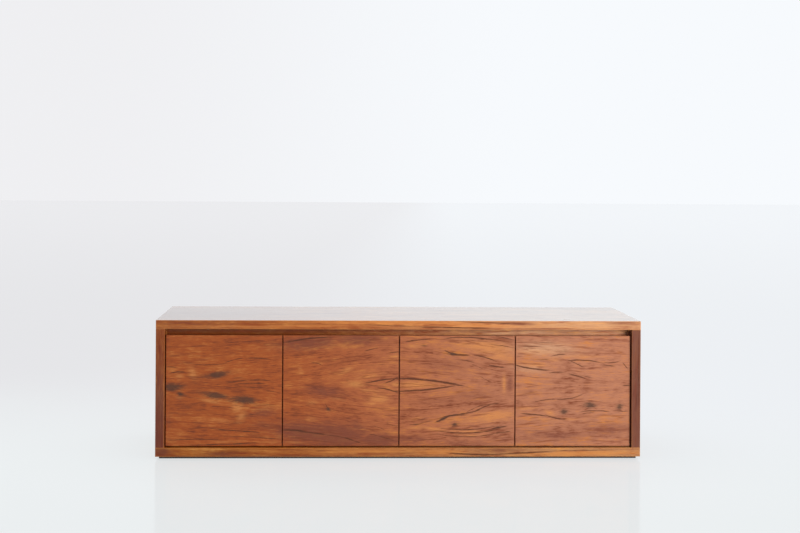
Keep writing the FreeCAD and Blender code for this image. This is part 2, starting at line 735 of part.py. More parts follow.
def arm_slot():
    """Slot in the arm's cheeks that follows the tail pin through the whole swing."""
    steps = 6
    path = [slot_point(DOOR_SWING * number / steps) for number in range(steps + 1)]
    radius = PIN_RADIUS + SLOT_CLEAR
    reach = ARM_HALF + 1
    bars = [capsule(a, b, radius, -reach, reach) for a, b in zip(path, path[1:])]
    return fused(bars)


def arm_outline(panel):
    """Plan outline of the cranked arm, tail first, for a panel face at U = panel."""
    low = panel + PLATE_THICK + ARM_OVER_PLATE
    high = panel + PLATE_THICK + ARM_OVER_PLATE + ARM_TALL
    nose = ARM_PIVOT[0] - EYE_RADIUS - ARM_METAL
    tip = SLOT_PIVOT[0] + EYE_RADIUS + 2 * ARM_METAL
    return [(low, ARM_BACK), (low, ARM_CRANK_END), (nose, ARM_CRANK_START),
            (nose, ARM_PIVOT[1]), (ARM_PIVOT[0], ARM_PIVOT[1] - EYE_RADIUS - ARM_METAL),
            (SLOT_PIVOT[0] - EYE_RADIUS, SLOT_PIVOT[1] - EYE_RADIUS - ARM_METAL),
            (tip, SLOT_PIVOT[1] - EYE_RADIUS), (tip, ARM_CRANK_START),
            (high, ARM_CRANK_END), (high, ARM_BACK)]


def arm_back_profile(panel):
    """The same outline moved in by the metal, to leave the web on the bay side."""
    return [(u - ARM_METAL, v) for u, v in arm_outline(panel)]


def hinge_arm(panel):
    """Channel-shaped arm with pivot holes, the tail pin's slot and a screw hole."""
    body = prism(arm_outline(panel), -ARM_HALF, ARM_HALF)
    inner = ARM_HALF - ARM_METAL
    room = prism(arm_back_profile(panel), -inner, inner)
    nose = block((-2 * HINGE_FROM_END, 2 * HINGE_FROM_END),
                 (-CUP_DEPTH, SLOT_PIVOT[1] + EYE_RADIUS + 5 * ARM_METAL), (-inner, inner))
    under = block((panel - 1, panel + PLATE_THICK + ARM_OVER_PLATE + ARM_METAL),
                  (ARM_CRANK_START, ARM_BACK + 1), (-inner, inner))
    seat = arm_screw_seat(panel)
    tools = [room, nose, under, arm_slot(), pin(ARM_PIVOT, ARM_HALF + 1, PIN_RADIUS + PIN_CLEAR),
             rod(ARM_SCREW_SHANK / 2, seat - Vec(ARM_METAL, 0, 0), seat)]
    return cut_all(body, tools)


def arm_screw_seat(panel):
    """Seat of the screw that clamps the arm to its plate."""
    return Vec(panel + PLATE_THICK + ARM_OVER_PLATE + ARM_TALL, PLATE_V, 0)


def hinge_plate(panel):
    """Cross-shaped mounting plate with a boss inside the arm."""
    top = panel + PLATE_THICK
    base = block((panel, top), (PLATE_V - PLATE_LENGTH / 2, PLATE_V + PLATE_LENGTH / 2),
                 (-PLATE_WIDTH / 2, PLATE_WIDTH / 2))
    base = eased(base, PLATE_WIDTH / 4, lambda edge: runs_along(edge, Vec(1, 0, 0)))
    reach = PLATE_SCREW_SPACING / 2 + PLATE_WING / 2
    wings = block((panel, top), (PLATE_V - PLATE_WING / 2, PLATE_V + PLATE_WING / 2),
                  (-reach, reach))
    wings = eased(wings, PLATE_WING / 3, lambda edge: runs_along(edge, Vec(1, 0, 0)))
    inner = ARM_HALF - ARM_METAL - PLATE_BOSS_CLEAR
    under_web = arm_screw_seat(panel).x - ARM_METAL
    boss = block((panel, under_web), (PLATE_V - PLATE_WING, PLATE_V + PLATE_WING),
                 (-inner, inner))
    seat = arm_screw_seat(panel)
    holes = [rod(ARM_SCREW_SHANK / 2, seat - Vec(ARM_SCREW_LENGTH, 0, 0), seat)]
    for place in plate_screw_seats(panel):
        holes.append(rod(PLATE_SCREW_SHANK / 2, place - Vec(PLATE_THICK, 0, 0), place))
    return cut_all(fused([base, wings, boss]), holes)


def plate_screw_seats(panel):
    """Screw seats on a mounting plate."""
    return [Vec(panel + PLATE_THICK, PLATE_V, side * PLATE_SCREW_SPACING / 2)
            for side in (-1, 1)]


def plate_screws(panel):
    """The screws of one mounting plate."""
    return [screw(PLATE_SCREW_SHANK, PLATE_SCREW_HEAD, PLATE_SCREW_LENGTH, seat,
                  Vec(-1, 0, 0)) for seat in plate_screw_seats(panel)]


def plate_screw_holes(panel):
    """Holes of the plate screws in the panel."""
    return [rod(PLATE_SCREW_SHANK / 2, seat - Vec(PLATE_SCREW_LENGTH, 0, 0), seat)
            for seat in plate_screw_seats(panel)]


def arm_screw(panel):
    """Screw that clamps the arm."""
    return screw(ARM_SCREW_SHANK, ARM_SCREW_HEAD, ARM_SCREW_LENGTH,
                 arm_screw_seat(panel), Vec(-1, 0, 0))


def hung(shapes, edge, sign):
    """Place hinge shapes at both heights of a door, mirrored for a right-hung one."""
    placed = []
    for height in HINGE_HEIGHTS:
        for shape in shapes:
            copy = shape if sign > 0 else shape.mirror(Vec(0, 0, 0), Vec(1, 0, 0))
            placed.append(copy.translated(Vec(edge, DOOR_BACK, height)))
    return placed


# --- doors -----------------------------------------------------------------------------
def door(edge, sign):
    """Flat door: eased all round, with a finger bevel behind its top edge."""
    ends = sorted((edge, edge + sign * DOOR_WIDTH))
    board = block(ends, (DOOR_FRONT, DOOR_BACK), (DOOR_LOW, DOOR_HIGH))
    grip = [one for one in board.Edges if runs_along(one, Vec(1, 0, 0))
            and one.CenterOfMass.z > DOOR_HIGH - 1 and one.CenterOfMass.y > DOOR_BACK - 1]
    board = board.makeChamfer(FINGER_BEVEL, grip)
    board = eased(board, DOOR_EASE, lambda one: one.CenterOfMass.y < DOOR_FRONT + 1)
    return cut_all(board, hung(cup_bore(), edge, sign))


def build():
    """Make every piece and write the nodes."""
    os.makedirs("parts", exist_ok=True)
    grooves = back_grooves()
    dowel_holes = upright_dowels(DOWEL_END_CLEAR)
    rail_holes = rail_dowels(DOWEL_END_CLEAR)
    plate_holes = []
    for _, edge, sign, panel in DOORS:
        plate_holes += hung(plate_screw_holes(panel), edge, sign)
    upright_tools = grooves + dowel_holes + rail_holes + support_holes() + plate_holes

    save("top_panel", [through_board(TOP_UNDER, HEIGHT, grooves + dowel_holes)])
    save("bottom_panel", [through_board(PLINTH_HEIGHT, FLOOR_TOP,
                                        grooves + dowel_holes + plinth_holes())])
    save("left_side_panel", [side_panel(-1, upright_tools)])
    save("right_side_panel", [side_panel(1, upright_tools)])
    save("centre_partition", [partition(upright_tools)])
    save("front_rail", [cut_all(front_rail(), catch_screw_holes())])
    save("back_panel_left", [back_panel(-1)])
    save("back_panel_right", [back_panel(1)])
    save("carcass_dowels", upright_dowels(0) + rail_dowels(0))

    feet_holes = plinth_holes() + glide_holes()
    save("plinth_front_rail", [cut_all(plinth_long(-1), feet_holes)])
    save("plinth_back_rail", [cut_all(plinth_long(1), feet_holes)])
    save("plinth_left_rail", [cut_all(plinth_short(-PLINTH_X), feet_holes)])
    save("plinth_right_rail", [cut_all(plinth_short(PLINTH_X), feet_holes)])
    crosses = [block((x - PLINTH_RAIL_WIDTH / 2, x + PLINTH_RAIL_WIDTH / 2),
                     (PLINTH_RAIL_WIDTH - PLINTH_Y, PLINTH_Y - PLINTH_RAIL_WIDTH), PLINTH_Z)
               for x in plinth_cross_xs()]
    save("plinth_cross_rails", [cut_all(cross, feet_holes) for cross in crosses])
    save("plinth_screws", plinth_screws())
    save("floor_glides", [glide(x, y) for x, y in plinth_stations()])

    save("shelf_left", [shelf(-1)])
    save("shelf_right", [shelf(1)])
    save("shelf_supports", [shelf_support(wall, facing, y)
                            for wall, facing in support_walls() for y in support_ys()])

    save("magnetic_catches", [catch_case(x) for x in catch_xs()])
    save("catch_pole_plates", [plate for x in catch_xs() for plate in pole_plates(x)])
    save("catch_screws", catch_screws())
    save("door_stop_blocks", [stop_block(-1), stop_block(1)])
    save("door_bumpers", bumpers())

    plates, plate_fixings, arm_fixings = [], [], []
    for _, edge, sign, panel in DOORS:
        plates += hung([hinge_plate(panel)], edge, sign)
        plate_fixings += hung(plate_screws(panel), edge, sign)
        arm_fixings += hung([arm_screw(panel)], edge, sign)
    save("hinge_mounting_plates", plates)
    save("hinge_plate_screws", plate_fixings)
    save("hinge_arm_screws", arm_fixings)

    for (name, edge, sign, panel), catch_x in zip(DOORS, catch_xs()):
        save("hinge_arms_" + name, hung([hinge_arm(panel)], edge, sign))
        save("outer_links_" + name, hung([outer_link()], edge, sign))
        save("inner_links_" + name, hung([inner_link()], edge, sign))
        save("door_" + name, [door(edge, sign)])
        save("hinge_cups_" + name, hung([hinge_cup()], edge, sign))
        save("cup_pins_" + name, hung([cup_pin()], edge, sign))
        save("cup_screws_" + name, hung(cup_screws(), edge, sign))
        save("strike_plate_" + name, [strike(catch_x)])


build()
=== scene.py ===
"""Office credenza: veneers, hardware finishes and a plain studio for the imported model.

The file is laid out as a Blender add-on. It is run as a script: main() registers the
property groups, operators and panel, and calls the operators one after the other.
Lengths are in metres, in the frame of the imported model.
"""
import collections
import math

import bmesh
import bpy
from bpy.props import FloatProperty, FloatVectorProperty, PointerProperty
from mathutils import Matrix, Vector


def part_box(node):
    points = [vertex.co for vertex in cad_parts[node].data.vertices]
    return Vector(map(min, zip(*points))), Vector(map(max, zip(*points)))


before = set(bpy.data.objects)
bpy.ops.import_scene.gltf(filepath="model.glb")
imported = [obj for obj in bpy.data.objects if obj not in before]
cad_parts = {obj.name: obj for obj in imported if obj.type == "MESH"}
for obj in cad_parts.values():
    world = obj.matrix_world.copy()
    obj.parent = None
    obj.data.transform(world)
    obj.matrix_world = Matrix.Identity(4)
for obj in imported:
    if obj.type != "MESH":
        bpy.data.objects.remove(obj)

bl_info = {
    "name": "Office credenza finishes",
    "version": (1, 0, 0),
    "blender": (4, 5, 0),
    "location": "View3D > Sidebar > Credenza",
    "description": "Figured veneer, hinge metal and a studio for a four-door credenza",
    "category": "Object",
}

# --- figure of the door veneer ---
# The growth rings close round a pointed eye behind the meeting edges of the inner doors.
EYE_X = 0.020
EYE_Z = 0.318

# Marks on the veneer. Knots bend the rings round them and lines are thin dark growth
# lines. The rest are patches: golden glows, faded ones, purple-brown shades and deep
# red-brown ones. A row starts with the place of the mark's middle, along and across the
# grain from the lower left corner of its board, and its half length, in millimetres. A
# line goes on with its tilt in degrees and how far its ends rise above its middle, a patch
# with its half height and its tilt. The last number is the mark's strength in percent.
# Some patches of the boards are painted light and shade; their rows say so.
Mark = collections.namedtuple("Mark", "kind along across long tall tilt rise strength")
MM = 0.001
THINNEST_LINE = 0.0011  # half height of a line of no strength, and of full strength
THICKEST_LINE = 0.0031
DOOR_MARKS = {
    "left_outer": {
        "line": ((190, 352, 75, 1, 5, 60), (290, 372, 50, 14, -4, 55), (400, 381, 60, -4, -4, 60),
            (25, 343, 25, -4, 0, 55), (50, 322, 32, 4, -4, 70), (350, 284, 95, 3, -6, 65),
            (355, 272, 80, 2, -5, 60), (345, 256, 70, -2, -4, 55), (440, 284, 50, -12, -4, 50),
            (460, 236, 42, -8, -3, 50), (250, 170, 70, -3, -5, 45), (122, 180, 30, 20, 0, 40),
            (430, 178, 60, 3, -4, 50), (385, 138, 32, 8, 0, 45), (180, 78, 95, -2, -5, 50),
            (310, 67, 95, -4, -3, 75), (130, 30, 120, 1, -4, 65), (330, 40, 120, -2, -3, 50),
            (440, 35, 50, -3, 0, 60), (250, 9, 160, 2, 0, 65)),
        "knot": ((220, 308, 40, 12, 8, 125), (25, 255, 34, 13, 3, 135), (62, 227, 20, 8, -12, 100),
            (215, 219, 44, 12, -10, 125), (335, 200, 42, 14, -4, 130)),
        "glow": ((115, 315, 18, 32, 20, 80), (60, 303, 22, 11, 0, 70), (60, 212, 25, 8, 0, 60),
            (190, 195, 48, 8, -12, 80), (308, 168, 20, 22, -30, 100), (325, 130, 20, 30, -30, 80),
            (240, 110, 85, 15, -3, 50), (260, 20, 90, 7, 0, 55), (460, 18, 50, 6, 0, 55)),
        "shade": ((450, 425, 60, 28, 0, 40), (60, 203, 26, 9, 0, 40), (420, 142, 75, 28, 6, 65),
            (15, 110, 20, 35, 0, 40), (430, 90, 85, 28, 0, 60)),
    },
    "left_inner": {
        "line": ((110, 464, 95, 7, -3, 80), (480, 407, 24, 3, 0, 65), (380, 418, 30, 14, 0, 60),
            (145, 360, 24, -12, -4, 65), (400, 352, 60, 3, 3, 40), (420, 285, 85, 8, -4, 75),
            (468, 282, 38, 24, 3, 70), (400, 262, 60, -6, 0, 50), (458, 245, 52, -14, -4, 75),
            (125, 190, 40, -30, -4, 35), (192, 170, 22, -55, 0, 45), (60, 160, 26, 0, 4, 45),
            (470, 133, 45, 2, 4, 45), (478, 90, 32, -10, 5, 50), (420, 78, 40, -20, 0, 45),
            (50, 70, 55, -3, -4, 85), (140, 58, 60, -7, -3, 70), (240, 42, 60, -9, -3, 55),
            (300, 25, 45, -18, 0, 60), (420, 42, 70, -14, -3, 50)),
        "knot": ((196, 160, 13, 8, -30, 80),),
        "glow": ((485, 388, 26, 9, 0, 55), (75, 330, 12, 26, 25, 50), (270, 327, 38, 12, 20, 70),
            (365, 318, 110, 20, 0, 40), (370, 300, 70, 8, 6, 60), (312, 270, 42, 15, 0, 95),
            (488, 268, 20, 11, 0, 90), (380, 240, 52, 9, -6, 70), (415, 205, 38, 14, 0, 100),
            (385, 186, 28, 9, 0, 70), (240, 205, 42, 7, -12, 50), (125, 190, 30, 20, 0, 50),
            (125, 120, 32, 13, 0, 50), (60, 15, 52, 6, -4, 60)),
        "shade": ((110, 446, 130, 28, 4, 95), (325, 462, 125, 28, 0, 85),
            (180, 236, 90, 28, -8, 75), (95, 60, 120, 38, -6, 120), (225, 46, 130, 46, -6, 125),
            (330, 80, 65, 32, -30, 70), (420, 26, 105, 28, 0, 105)),
    },
    "right_inner": {
        "line": ((300, 473, 105, -1, -9, 70), (455, 470, 45, -12, 0, 65), (75, 461, 58, 6, -3, 70),
            (400, 463, 70, -7, -5, 60), (330, 457, 80, 0, -4, 45), (440, 437, 60, -8, -3, 55),
            (300, 443, 30, 6, 0, 45), (213, 407, 20, -25, 0, 70), (258, 395, 42, -4, 2, 90),
            (370, 386, 52, -14, -5, 70), (290, 371, 48, -10, -4, 55), (420, 347, 32, -8, 0, 75),
            (340, 345, 38, -22, 0, 45), (130, 286, 135, -6, -9, 105), (110, 244, 122, 5, 7, 95),
            (375, 290, 32, -28, 0, 45), (410, 182, 28, 8, 0, 60), (368, 168, 42, 22, 0, 70),
            (330, 166, 50, 22, -4, 50), (308, 146, 48, 9, 5, 75), (240, 136, 48, 6, -4, 90),
            (188, 118, 32, 25, 0, 90), (100, 117, 27, 10, 0, 50), (72, 94, 32, 5, 0, 65),
            (115, 104, 32, 12, 0, 50), (320, 87, 32, -12, 0, 40), (430, 80, 34, 10, 0, 80),
            (300, 72, 130, 2, 12, 60), (300, 57, 145, 2, 16, 70), (315, 42, 165, 3, 20, 60),
            (450, 58, 48, 8, 3, 60), (150, 28, 52, 0, 0, 45)),
        "knot": ((105, 437, 24, 8, -14, 60), (230, 400, 28, 7, -12, 90), (192, 121, 28, 7, 22, 85),
            (238, 136, 34, 6, 8, 70), (240, 95, 22, 11, 0, 80), (70, 92, 20, 6, 4, 60),
            (430, 80, 28, 6, 8, 70)),
        "glow": ((60, 435, 42, 12, 0, 60), (380, 430, 110, 26, -6, 95), (440, 392, 60, 18, 0, 75),
            (455, 270, 9, 38, 0, 85), (70, 266, 90, 13, 0, 95), (70, 120, 36, 8, 6, 60),
            (230, 118, 38, 8, 0, 70), (410, 128, 90, 20, 8, 95), (320, 110, 62, 9, 4, 65),
            (150, 74, 62, 9, -8, 75), (70, 78, 42, 8, 0, 65), (300, 64, 80, 5, 0, 75),
            (310, 50, 70, 5, 0, 65)),
        "shade": ((200, 350, 115, 32, -4, 50), (170, 318, 125, 12, 0, 40),
            (480, 270, 15, 40, 0, 75), (330, 218, 130, 38, 0, 50), (165, 198, 120, 24, 0, 45),
            (60, 30, 62, 22, 0, 75), (440, 28, 62, 18, 0, 50), (260, 12, 200, 12, 0, 55)),
    },
    "right_outer": {
        "line": ((100, 450, 100, -2, 0, 45), (60, 433, 62, 0, 3, 50), (188, 398, 32, 5, -3, 65),
            (15, 389, 14, 5, 0, 55), (120, 378, 32, 0, 0, 55), (400, 380, 62, 0, 3, 40),
            (302, 373, 72, -3, -6, 75), (420, 365, 42, 6, 5, 60), (262, 360, 38, -25, 0, 65),
            (400, 352, 32, -3, 0, 65), (480, 350, 20, -50, 0, 65), (68, 338, 75, -9, 4, 85),
            (180, 322, 35, 2, -4, 60), (268, 307, 42, -16, -3, 70), (312, 303, 32, -12, 0, 50),
            (488, 265, 17, 0, 0, 75), (60, 232, 42, 10, 0, 45), (268, 216, 34, 20, 0, 60),
            (222, 205, 45, 5, 3, 65), (140, 203, 60, 6, -4, 60), (345, 153, 65, 0, -5, 65),
            (460, 153, 42, -2, 0, 55), (320, 145, 32, 8, 0, 50), (400, 137, 52, 2, 3, 40),
            (85, 138, 58, -6, -3, 75), (168, 123, 38, -14, 4, 75), (205, 117, 18, 0, 0, 65),
            (390, 104, 42, 4, 0, 45), (60, 67, 62, 1, 0, 40)),
        "knot": ((110, 375, 28, 8, -8, 40), (245, 365, 22, 9, -25, 40), (326, 178, 22, 14, 0, 105),
            (456, 170, 18, 13, 30, 90), (212, 150, 18, 11, 12, 95)),
        "faded": ((130, 425, 140, 32, -2, 80), (60, 335, 90, 20, -8, 60)),
        "glow": ((90, 412, 95, 16, -2, 60), (290, 390, 120, 9, 0, 55), (168, 378, 38, 14, 0, 55),
            (90, 352, 62, 9, -3, 80), (40, 165, 52, 10, 0, 60), (150, 145, 26, 13, -20, 75),
            (130, 115, 42, 8, -4, 60), (240, 118, 42, 8, 0, 60), (400, 125, 90, 8, 0, 55),
            (280, 9, 80, 5, 0, 50)),
        "shade": ((60, 235, 42, 14, 0, 50), (290, 240, 26, 11, 0, 35), (400, 72, 120, 34, 2, 70),
            (180, 46, 170, 26, -3, 65), (60, 30, 62, 18, 0, 55)),
    },
}
BOARD_MARKS = {
    "top_panel": {
        "line": ((290, 20, 230, 0, 2, 35), (690, 23, 210, 0, -3, 40), (1010, 17, 140, -2, 0, 55),
            (1290, 9, 165, -1, 0, 75), (1440, 30, 165, -2, 0, 60)),
        "glow": ((310, 11, 290, 7, 0, 90), (660, 14, 150, 7, 0, 90), (1000, 31, 330, 9, 0, 120),
            (1330, 18, 240, 7, -1, 110)),
        # The faded patch at the right end of the front edge is a painted highlight, where the
        # light from the right falls.
        "faded": ((1860, 21, 330, 23, 0, 75),),
        # The last shade, over the left end of the top surface, is painted shade standing in for a
        # dimmer reflection there.
        "shade": ((60, 12, 90, 8, 0, 30), (1560, 27, 60, 6, -3, 100), (1680, 4, 110, 4, 0, 85),
            (2030, 30, 80, 9, 0, 70), (120, 235, 480, 230, 0, 100)),
    },
    "front_rail": {
        # The deep patch over the rail's left half is painted shade: the dark left end of the
        # recess under the top.
        "deep": ((110, 70, 620, 60, 0, 160),),
        "faded": ((1450, 38, 70, 9, 0, 90), (1600, 37, 60, 9, 0, 90)),
        "shade": ((1370, 41, 50, 10, 0, 60), (1760, 40, 90, 10, 0, 50)),
    },
    "left_side_panel": {
        "line": ((150, 16, 90, 0, 0, 45), (130, 28, 110, 1, 0, 40)),
        "glow": ((330, 24, 130, 9, 0, 50),),
        "shade": ((100, 13, 170, 20, 0, 165), (300, 4, 200, 4, 0, 60)),
    },
    "right_side_panel": {
        "line": ((195, 20, 50, 2, 0, 50), (330, 29, 180, 0, 0, 55)),
        "faded": ((440, 11, 40, 6, 0, 60),),
        "shade": ((256, 19, 620, 32, 0, 135), (110, 22, 130, 16, 0, 55)),
    },
    "bottom_panel": {
        "line": ((1370, 10, 110, -2, 3, 80), (1580, 16, 140, 3, 0, 75), (1850, 27, 160, 1, 0, 55),
            (310, 20, 60, 5, 0, 45), (700, 28, 180, -1, 0, 40)),
        "glow": ((110, 20, 70, 7, 0, 40), (510, 22, 50, 12, 0, 60), (880, 24, 260, 9, 0, 95),
            (1230, 20, 100, 11, 0, 110), (1850, 14, 220, 9, 1, 120)),
        "deep": ((1070, 16, 70, 9, 0, 40), (330, 22, 110, 12, 0, 45)),
        "shade": ((20, 22, 40, 18, 0, 110), (290, 12, 90, 11, 0, 70), (450, 3, 480, 4, 0, 80),
            (1480, 28, 80, 9, 0, 85)),
    },
}
# How a kind of mark is drawn: its ends, from 0.7 for pointed to 2 for blunt, the closeness
# at which it starts and that at which it is full, and its weight there. The patches lie
# under the veins of the rings and the dark marks over them, in this order.
Kind = collections.namedtuple("Kind", "ends start full weight")
PATCHES = {"glow": Kind(1.0, 0.15, 0.90, 0.60), "faded": Kind(1.0, 0.15, 0.90, 0.60),
           "shade": Kind(1.0, 0.12, 0.90, 0.75), "deep": Kind(1.0, 0.12, 0.90, 0.80)}
DARK_MARKS = {"line": Kind(2.0, 0.18, 0.62, 0.92), "knot": Kind(0.7, 0.22, 0.85, 0.85)}
MARK_KINDS = {**PATCHES, **DARK_MARKS}
KNOT_PULL = 1.6  # how far a knot bends the rings, in its half heights
FRAY_SCALES = (24.0, 170.0, 1.0)  # of the noise that frays the marks
FRAY = 2.2  # how much it changes their closeness

# --- texture of the veneers ---
# Scales of noise are repeats per metre along the grain, across it and in depth. A layer
# of noise follows the face or the rings; its scale across them is per metre or per ring,
# and a shift in depth parts it from the other layers.
NOISE_MIDDLE = 0.5
NOISE_ENDS = (0.3, 0.7)  # most noise lies between these
WAVE_SCALES = (1.3, 3.0, 1.0)
RIPPLE_SCALES = (6.0, 16.0, 1.0)
Layer = collections.namedtuple("Layer", "follows along across detail shift")
LAYER_ROUGHNESS = {"rings": 0.6, "face": 0.5}
TONE_LAYERS = ((Layer("rings", 1.2, 0.40, 2.0, 0.0), 0.60),  # a layer and its weight
               (Layer("face", 6.0, 15.0, 2.0, 3.0), 0.90),
               (Layer("face", 24.0, 60.0, 2.0, 6.0), 0.60),
               (Layer("rings", 7.0, 3.0, 2.0, 9.0), 0.40),
               (Layer("rings", 4.0, 7.0, 1.0, 12.0), 0.70),
               (Layer("rings", 34.0, 11.0, 1.0, 18.0), 0.85))
DARK_TONE, MIDDLE_TONE, PALE_TONE = 0.05, 0.50, 0.95
VEINS = Layer("rings", 2.4, 0.9, 3.0, 14.0)
VEIN_STEPS = (0.045, 0.008)  # distance from the noise's middle: at a vein's edge, inside
BREAKS = Layer("rings", 6.0, 0.9, 2.0, 21.0)
BREAK_STEPS = (0.48, 0.60)  # a vein is gone below the first and whole above the second
VEIN_WEIGHT = 0.60
PORES_PER_RING = 34.0
PORE_STEPS = (0.56, 0.70)  # the noise at a pore's edge and inside it
PORE_WEIGHT = 0.30
PORE_DEPTH = 0.00010
DEPTH_SHARE = 0.2  # how much of a board's depth its figure follows
END_FACING = 0.7  # a face turned to the grain by more than this is an end
END_SHIFT = 5.0  # parts the figure of the ends from that of the long faces
# The paler right-end grounds are partly the veneer's own tone and partly painted sheen of the
# light from the right.
GROUND_SIDES = (-0.7, 0.8)  # the grounds change from left to right between these places

# What differs between the doors and the boards: the waves and ripples of the figure and
# the ripples of the marks, the spacing of the rings as a share of the common one, how fast
# they close, per metre, and the distance past which they run nearly level, the width and
# the weight of the recoloured arrises (darker on the doors, a painted highlight on the
# boards), and the roughness, its unevenness and the shine.
Finish = collections.namedtuple("Finish", "wave ripple mark_ripple spacing bow reach "
                                "worn wear roughness uneven shine")
DOOR_FINISH = Finish(wave=0.030, ripple=0.014, mark_ripple=0.012, spacing=1.0, bow=0.42,
                     reach=0.45, worn=0.0028, wear=0.75, roughness=0.42, uneven=0.14,
                     shine=0.30)
BOARD_FINISH = Finish(wave=0.020, ripple=0.006, mark_ripple=0.004, spacing=0.6, bow=0.03,
                      reach=0.8, worn=0.0035, wear=0.45, roughness=0.30, uneven=0.16,
                      shine=0.27)
IOR = 1.5  # of the oiled wood and of the lacquer
LACQUERED_BOARD = "top_panel"
LACQUER_ROUGHNESS = 0.10
FACING_UP = 0.5  # least upward part of the normal where the lacquer lies
HAZE_ROUGHNESS = 0.35
HAZE_TINT = (0.85, 0.97, 1.0)

# The carcass boards: their direction of grain, the shift of their figure and their tint.
# The grain of the boards inside runs along X, and one number makes them lighter or darker.
CARCASS_BOARDS = (("top_panel", "X", 0.4, (1.15, 1.05, 0.88)),
                  ("bottom_panel", "X", 3.1, (0.98, 0.92, 0.72)),
                  ("left_side_panel", "Z", 5.7, (0.80, 0.68, 0.75)),
                  ("right_side_panel", "Z", 8.9, (0.71, 0.63, 0.65)),
                  ("centre_partition", "Z", 11.3, (0.7, 0.65, 0.65)))
# The front rail's 1.36 is painted light: it brightens the rail, which lies shaded in its recess
# under the top.
INSIDE_BOARDS = (("front_rail", 1.9, 1.36), ("shelf_left", 4.4, 0.9),
                 ("shelf_right", 6.2, 0.9), ("back_panel_left", 7.3, 0.8),
                 ("back_panel_right", 7.3, 0.8), ("door_stop_blocks", 9.6, 0.9))

# --- solid wood, metal and mouldings ---
SOLID_WAVE, SOLID_RIPPLE = 0.020, 0.008
SOLID_EYE = -2.0  # far below the wood, so that the rings run level
SOLID_SPACING = 0.012
SOLID_SHIFT = 0.7
SOLID_PALE = 2.2  # the pale rings, times the ground
SOLID_UNEVEN = 0.15
SOLID_PORE_DEPTH = 0.00012
METAL_SCALE = 1400.0  # of the metal's texture along X and Z
BRUSHED, TUMBLED = 60.0, 900.0  # and along Y
METAL_DULL = 0.86  # the dull spots, times the plating
METAL_UNEVEN = 0.18
METAL_DEPTH = 0.00002
MOULDED_DULL = 0.88
MOULDED_UNEVEN = 0.12
MOULDED_DEPTH = 0.00004
SMEAR_SCALE, SPECK_SCALE = 3.5, 420.0  # wiping marks and dust, per metre

# --- studio ---
Light = collections.namedtuple("Light", "place aim size tint")
KEY_LIGHT = Light((2.5, -3.6, 1.15), (0.3, -0.2, 0.3), (2.1, 1.8), (1.0, 0.99, 0.97))
TOP_LIGHT = Light((0.0, 0.4, 3.6), (0.0, 0.0, 0.0), (5.0, 3.0), (0.97, 0.985, 1.0))
FLOOR_CELLS = 8
FLOOR_HALF = 40.0
FLOOR_ROUGHNESS = 0.10
FLOOR_SIDES = (-1.8, 0.9)  # the paint changes from left to right between these places
FLOOR_SLANT = -0.1  # a metre backwards counts as this far to the right
FLOOR_FADE = (-0.3, 2.2)  # and from the floor's colour to the backdrop's between these
FLOOR_LEAD = 0.8  # how much nearer the fade is at the right
CLOUD_SCALE = 1.2
CLOUD_LEAD = 0.3  # how much nearer it is where the paint is cloudy
BACKDROP_SIDES = (-0.25, 0.20)  # directions between which the backdrop changes

# --- camera ---
CAMERA_PLACE = (-0.301, -4.845, 1.238)
CAMERA_YAW = 1.53  # degrees to the right
CAMERA_ROLL = 0.36
CAMERA_LENS = 48.0
CAMERA_SENSOR = 36.0
CAMERA_SHIFT = (0.0505, -0.117)
CAMERA_REACH = 100.0


# --- properties ---
def colour(label, note, default):
    """A colour property."""
    return FloatVectorProperty(name=label, description=note, subtype="COLOR", size=3,
                               min=0.0, max=1.0, default=default)


def number(kind, label, note, default, **settings):
    """A property that holds one number, from nought up."""
    return FloatProperty(name=label, description=note, subtype=kind, min=0.0,
                         default=default, **settings)


class CredenzaVeneer(bpy.types.PropertyGroup):
    """Colours and scale of the veneers."""
    door: colour("Door veneer", "Ground colour of the doors", (0.365, 0.081, 0.016))
    # The right-end grounds of the doors and boards are partly painted sheen of the light from the
    # right.
    door_right: colour("Right door veneer", "Ground at the right end", (0.395, 0.158, 0.086))
    door_pale: colour("Door pale rings", "Palest rings of the doors", (0.53, 0.185, 0.045))
    door_dark: colour("Door dark rings", "Darkest rings of the doors", (0.165, 0.036, 0.012))
    board: colour("Board veneer", "Ground colour of the carcass", (0.37, 0.110, 0.018))
    board_right: colour("Right board veneer", "Ground at the right end", (0.400, 0.200, 0.110))
    board_pale: colour("Board pale rings", "Palest rings of the carcass", (0.62, 0.28, 0.080))
    board_dark: colour("Board dark rings", "Darkest rings of the carcass", (0.20, 0.030, 0.004))
    glow: colour("Gold", "Where the figure catches the light", (0.62, 0.245, 0.070))
    # Faded also paints the highlight at the right end of the top's front edge.
    faded: colour("Faded", "Bleached zones of the figure", (0.58, 0.33, 0.185))
    # Shade also paints the shade over the left end of the top surface.
    shade: colour("Shade", "Purple-brown zones of the figure", (0.155, 0.042, 0.026))
    # Deep also paints the shade over the front rail's left half.
    deep: colour("Deep", "Deep red-brown zones of the figure", (0.105, 0.018, 0.003))
    line: colour("Growth lines", "Thin dark lines of the figure", (0.080, 0.023, 0.009))
    knot: colour("Knots", "Hearts of the knots", (0.062, 0.029, 0.018))
    haze: number("FACTOR", "Haze", "Pale sheen of the lacquered top", 0.34, max=1.0)
    plinth: colour("Plinth stain", "Dark stain of the plinth", (0.022, 0.013, 0.010))
    ring_spacing: number("DISTANCE", "Ring spacing", "Width of a growth ring", 0.022,
                         unit="LENGTH")
    pore_length: number("DISTANCE", "Pore length", "Length of the open pores", 0.030,
                        unit="LENGTH")


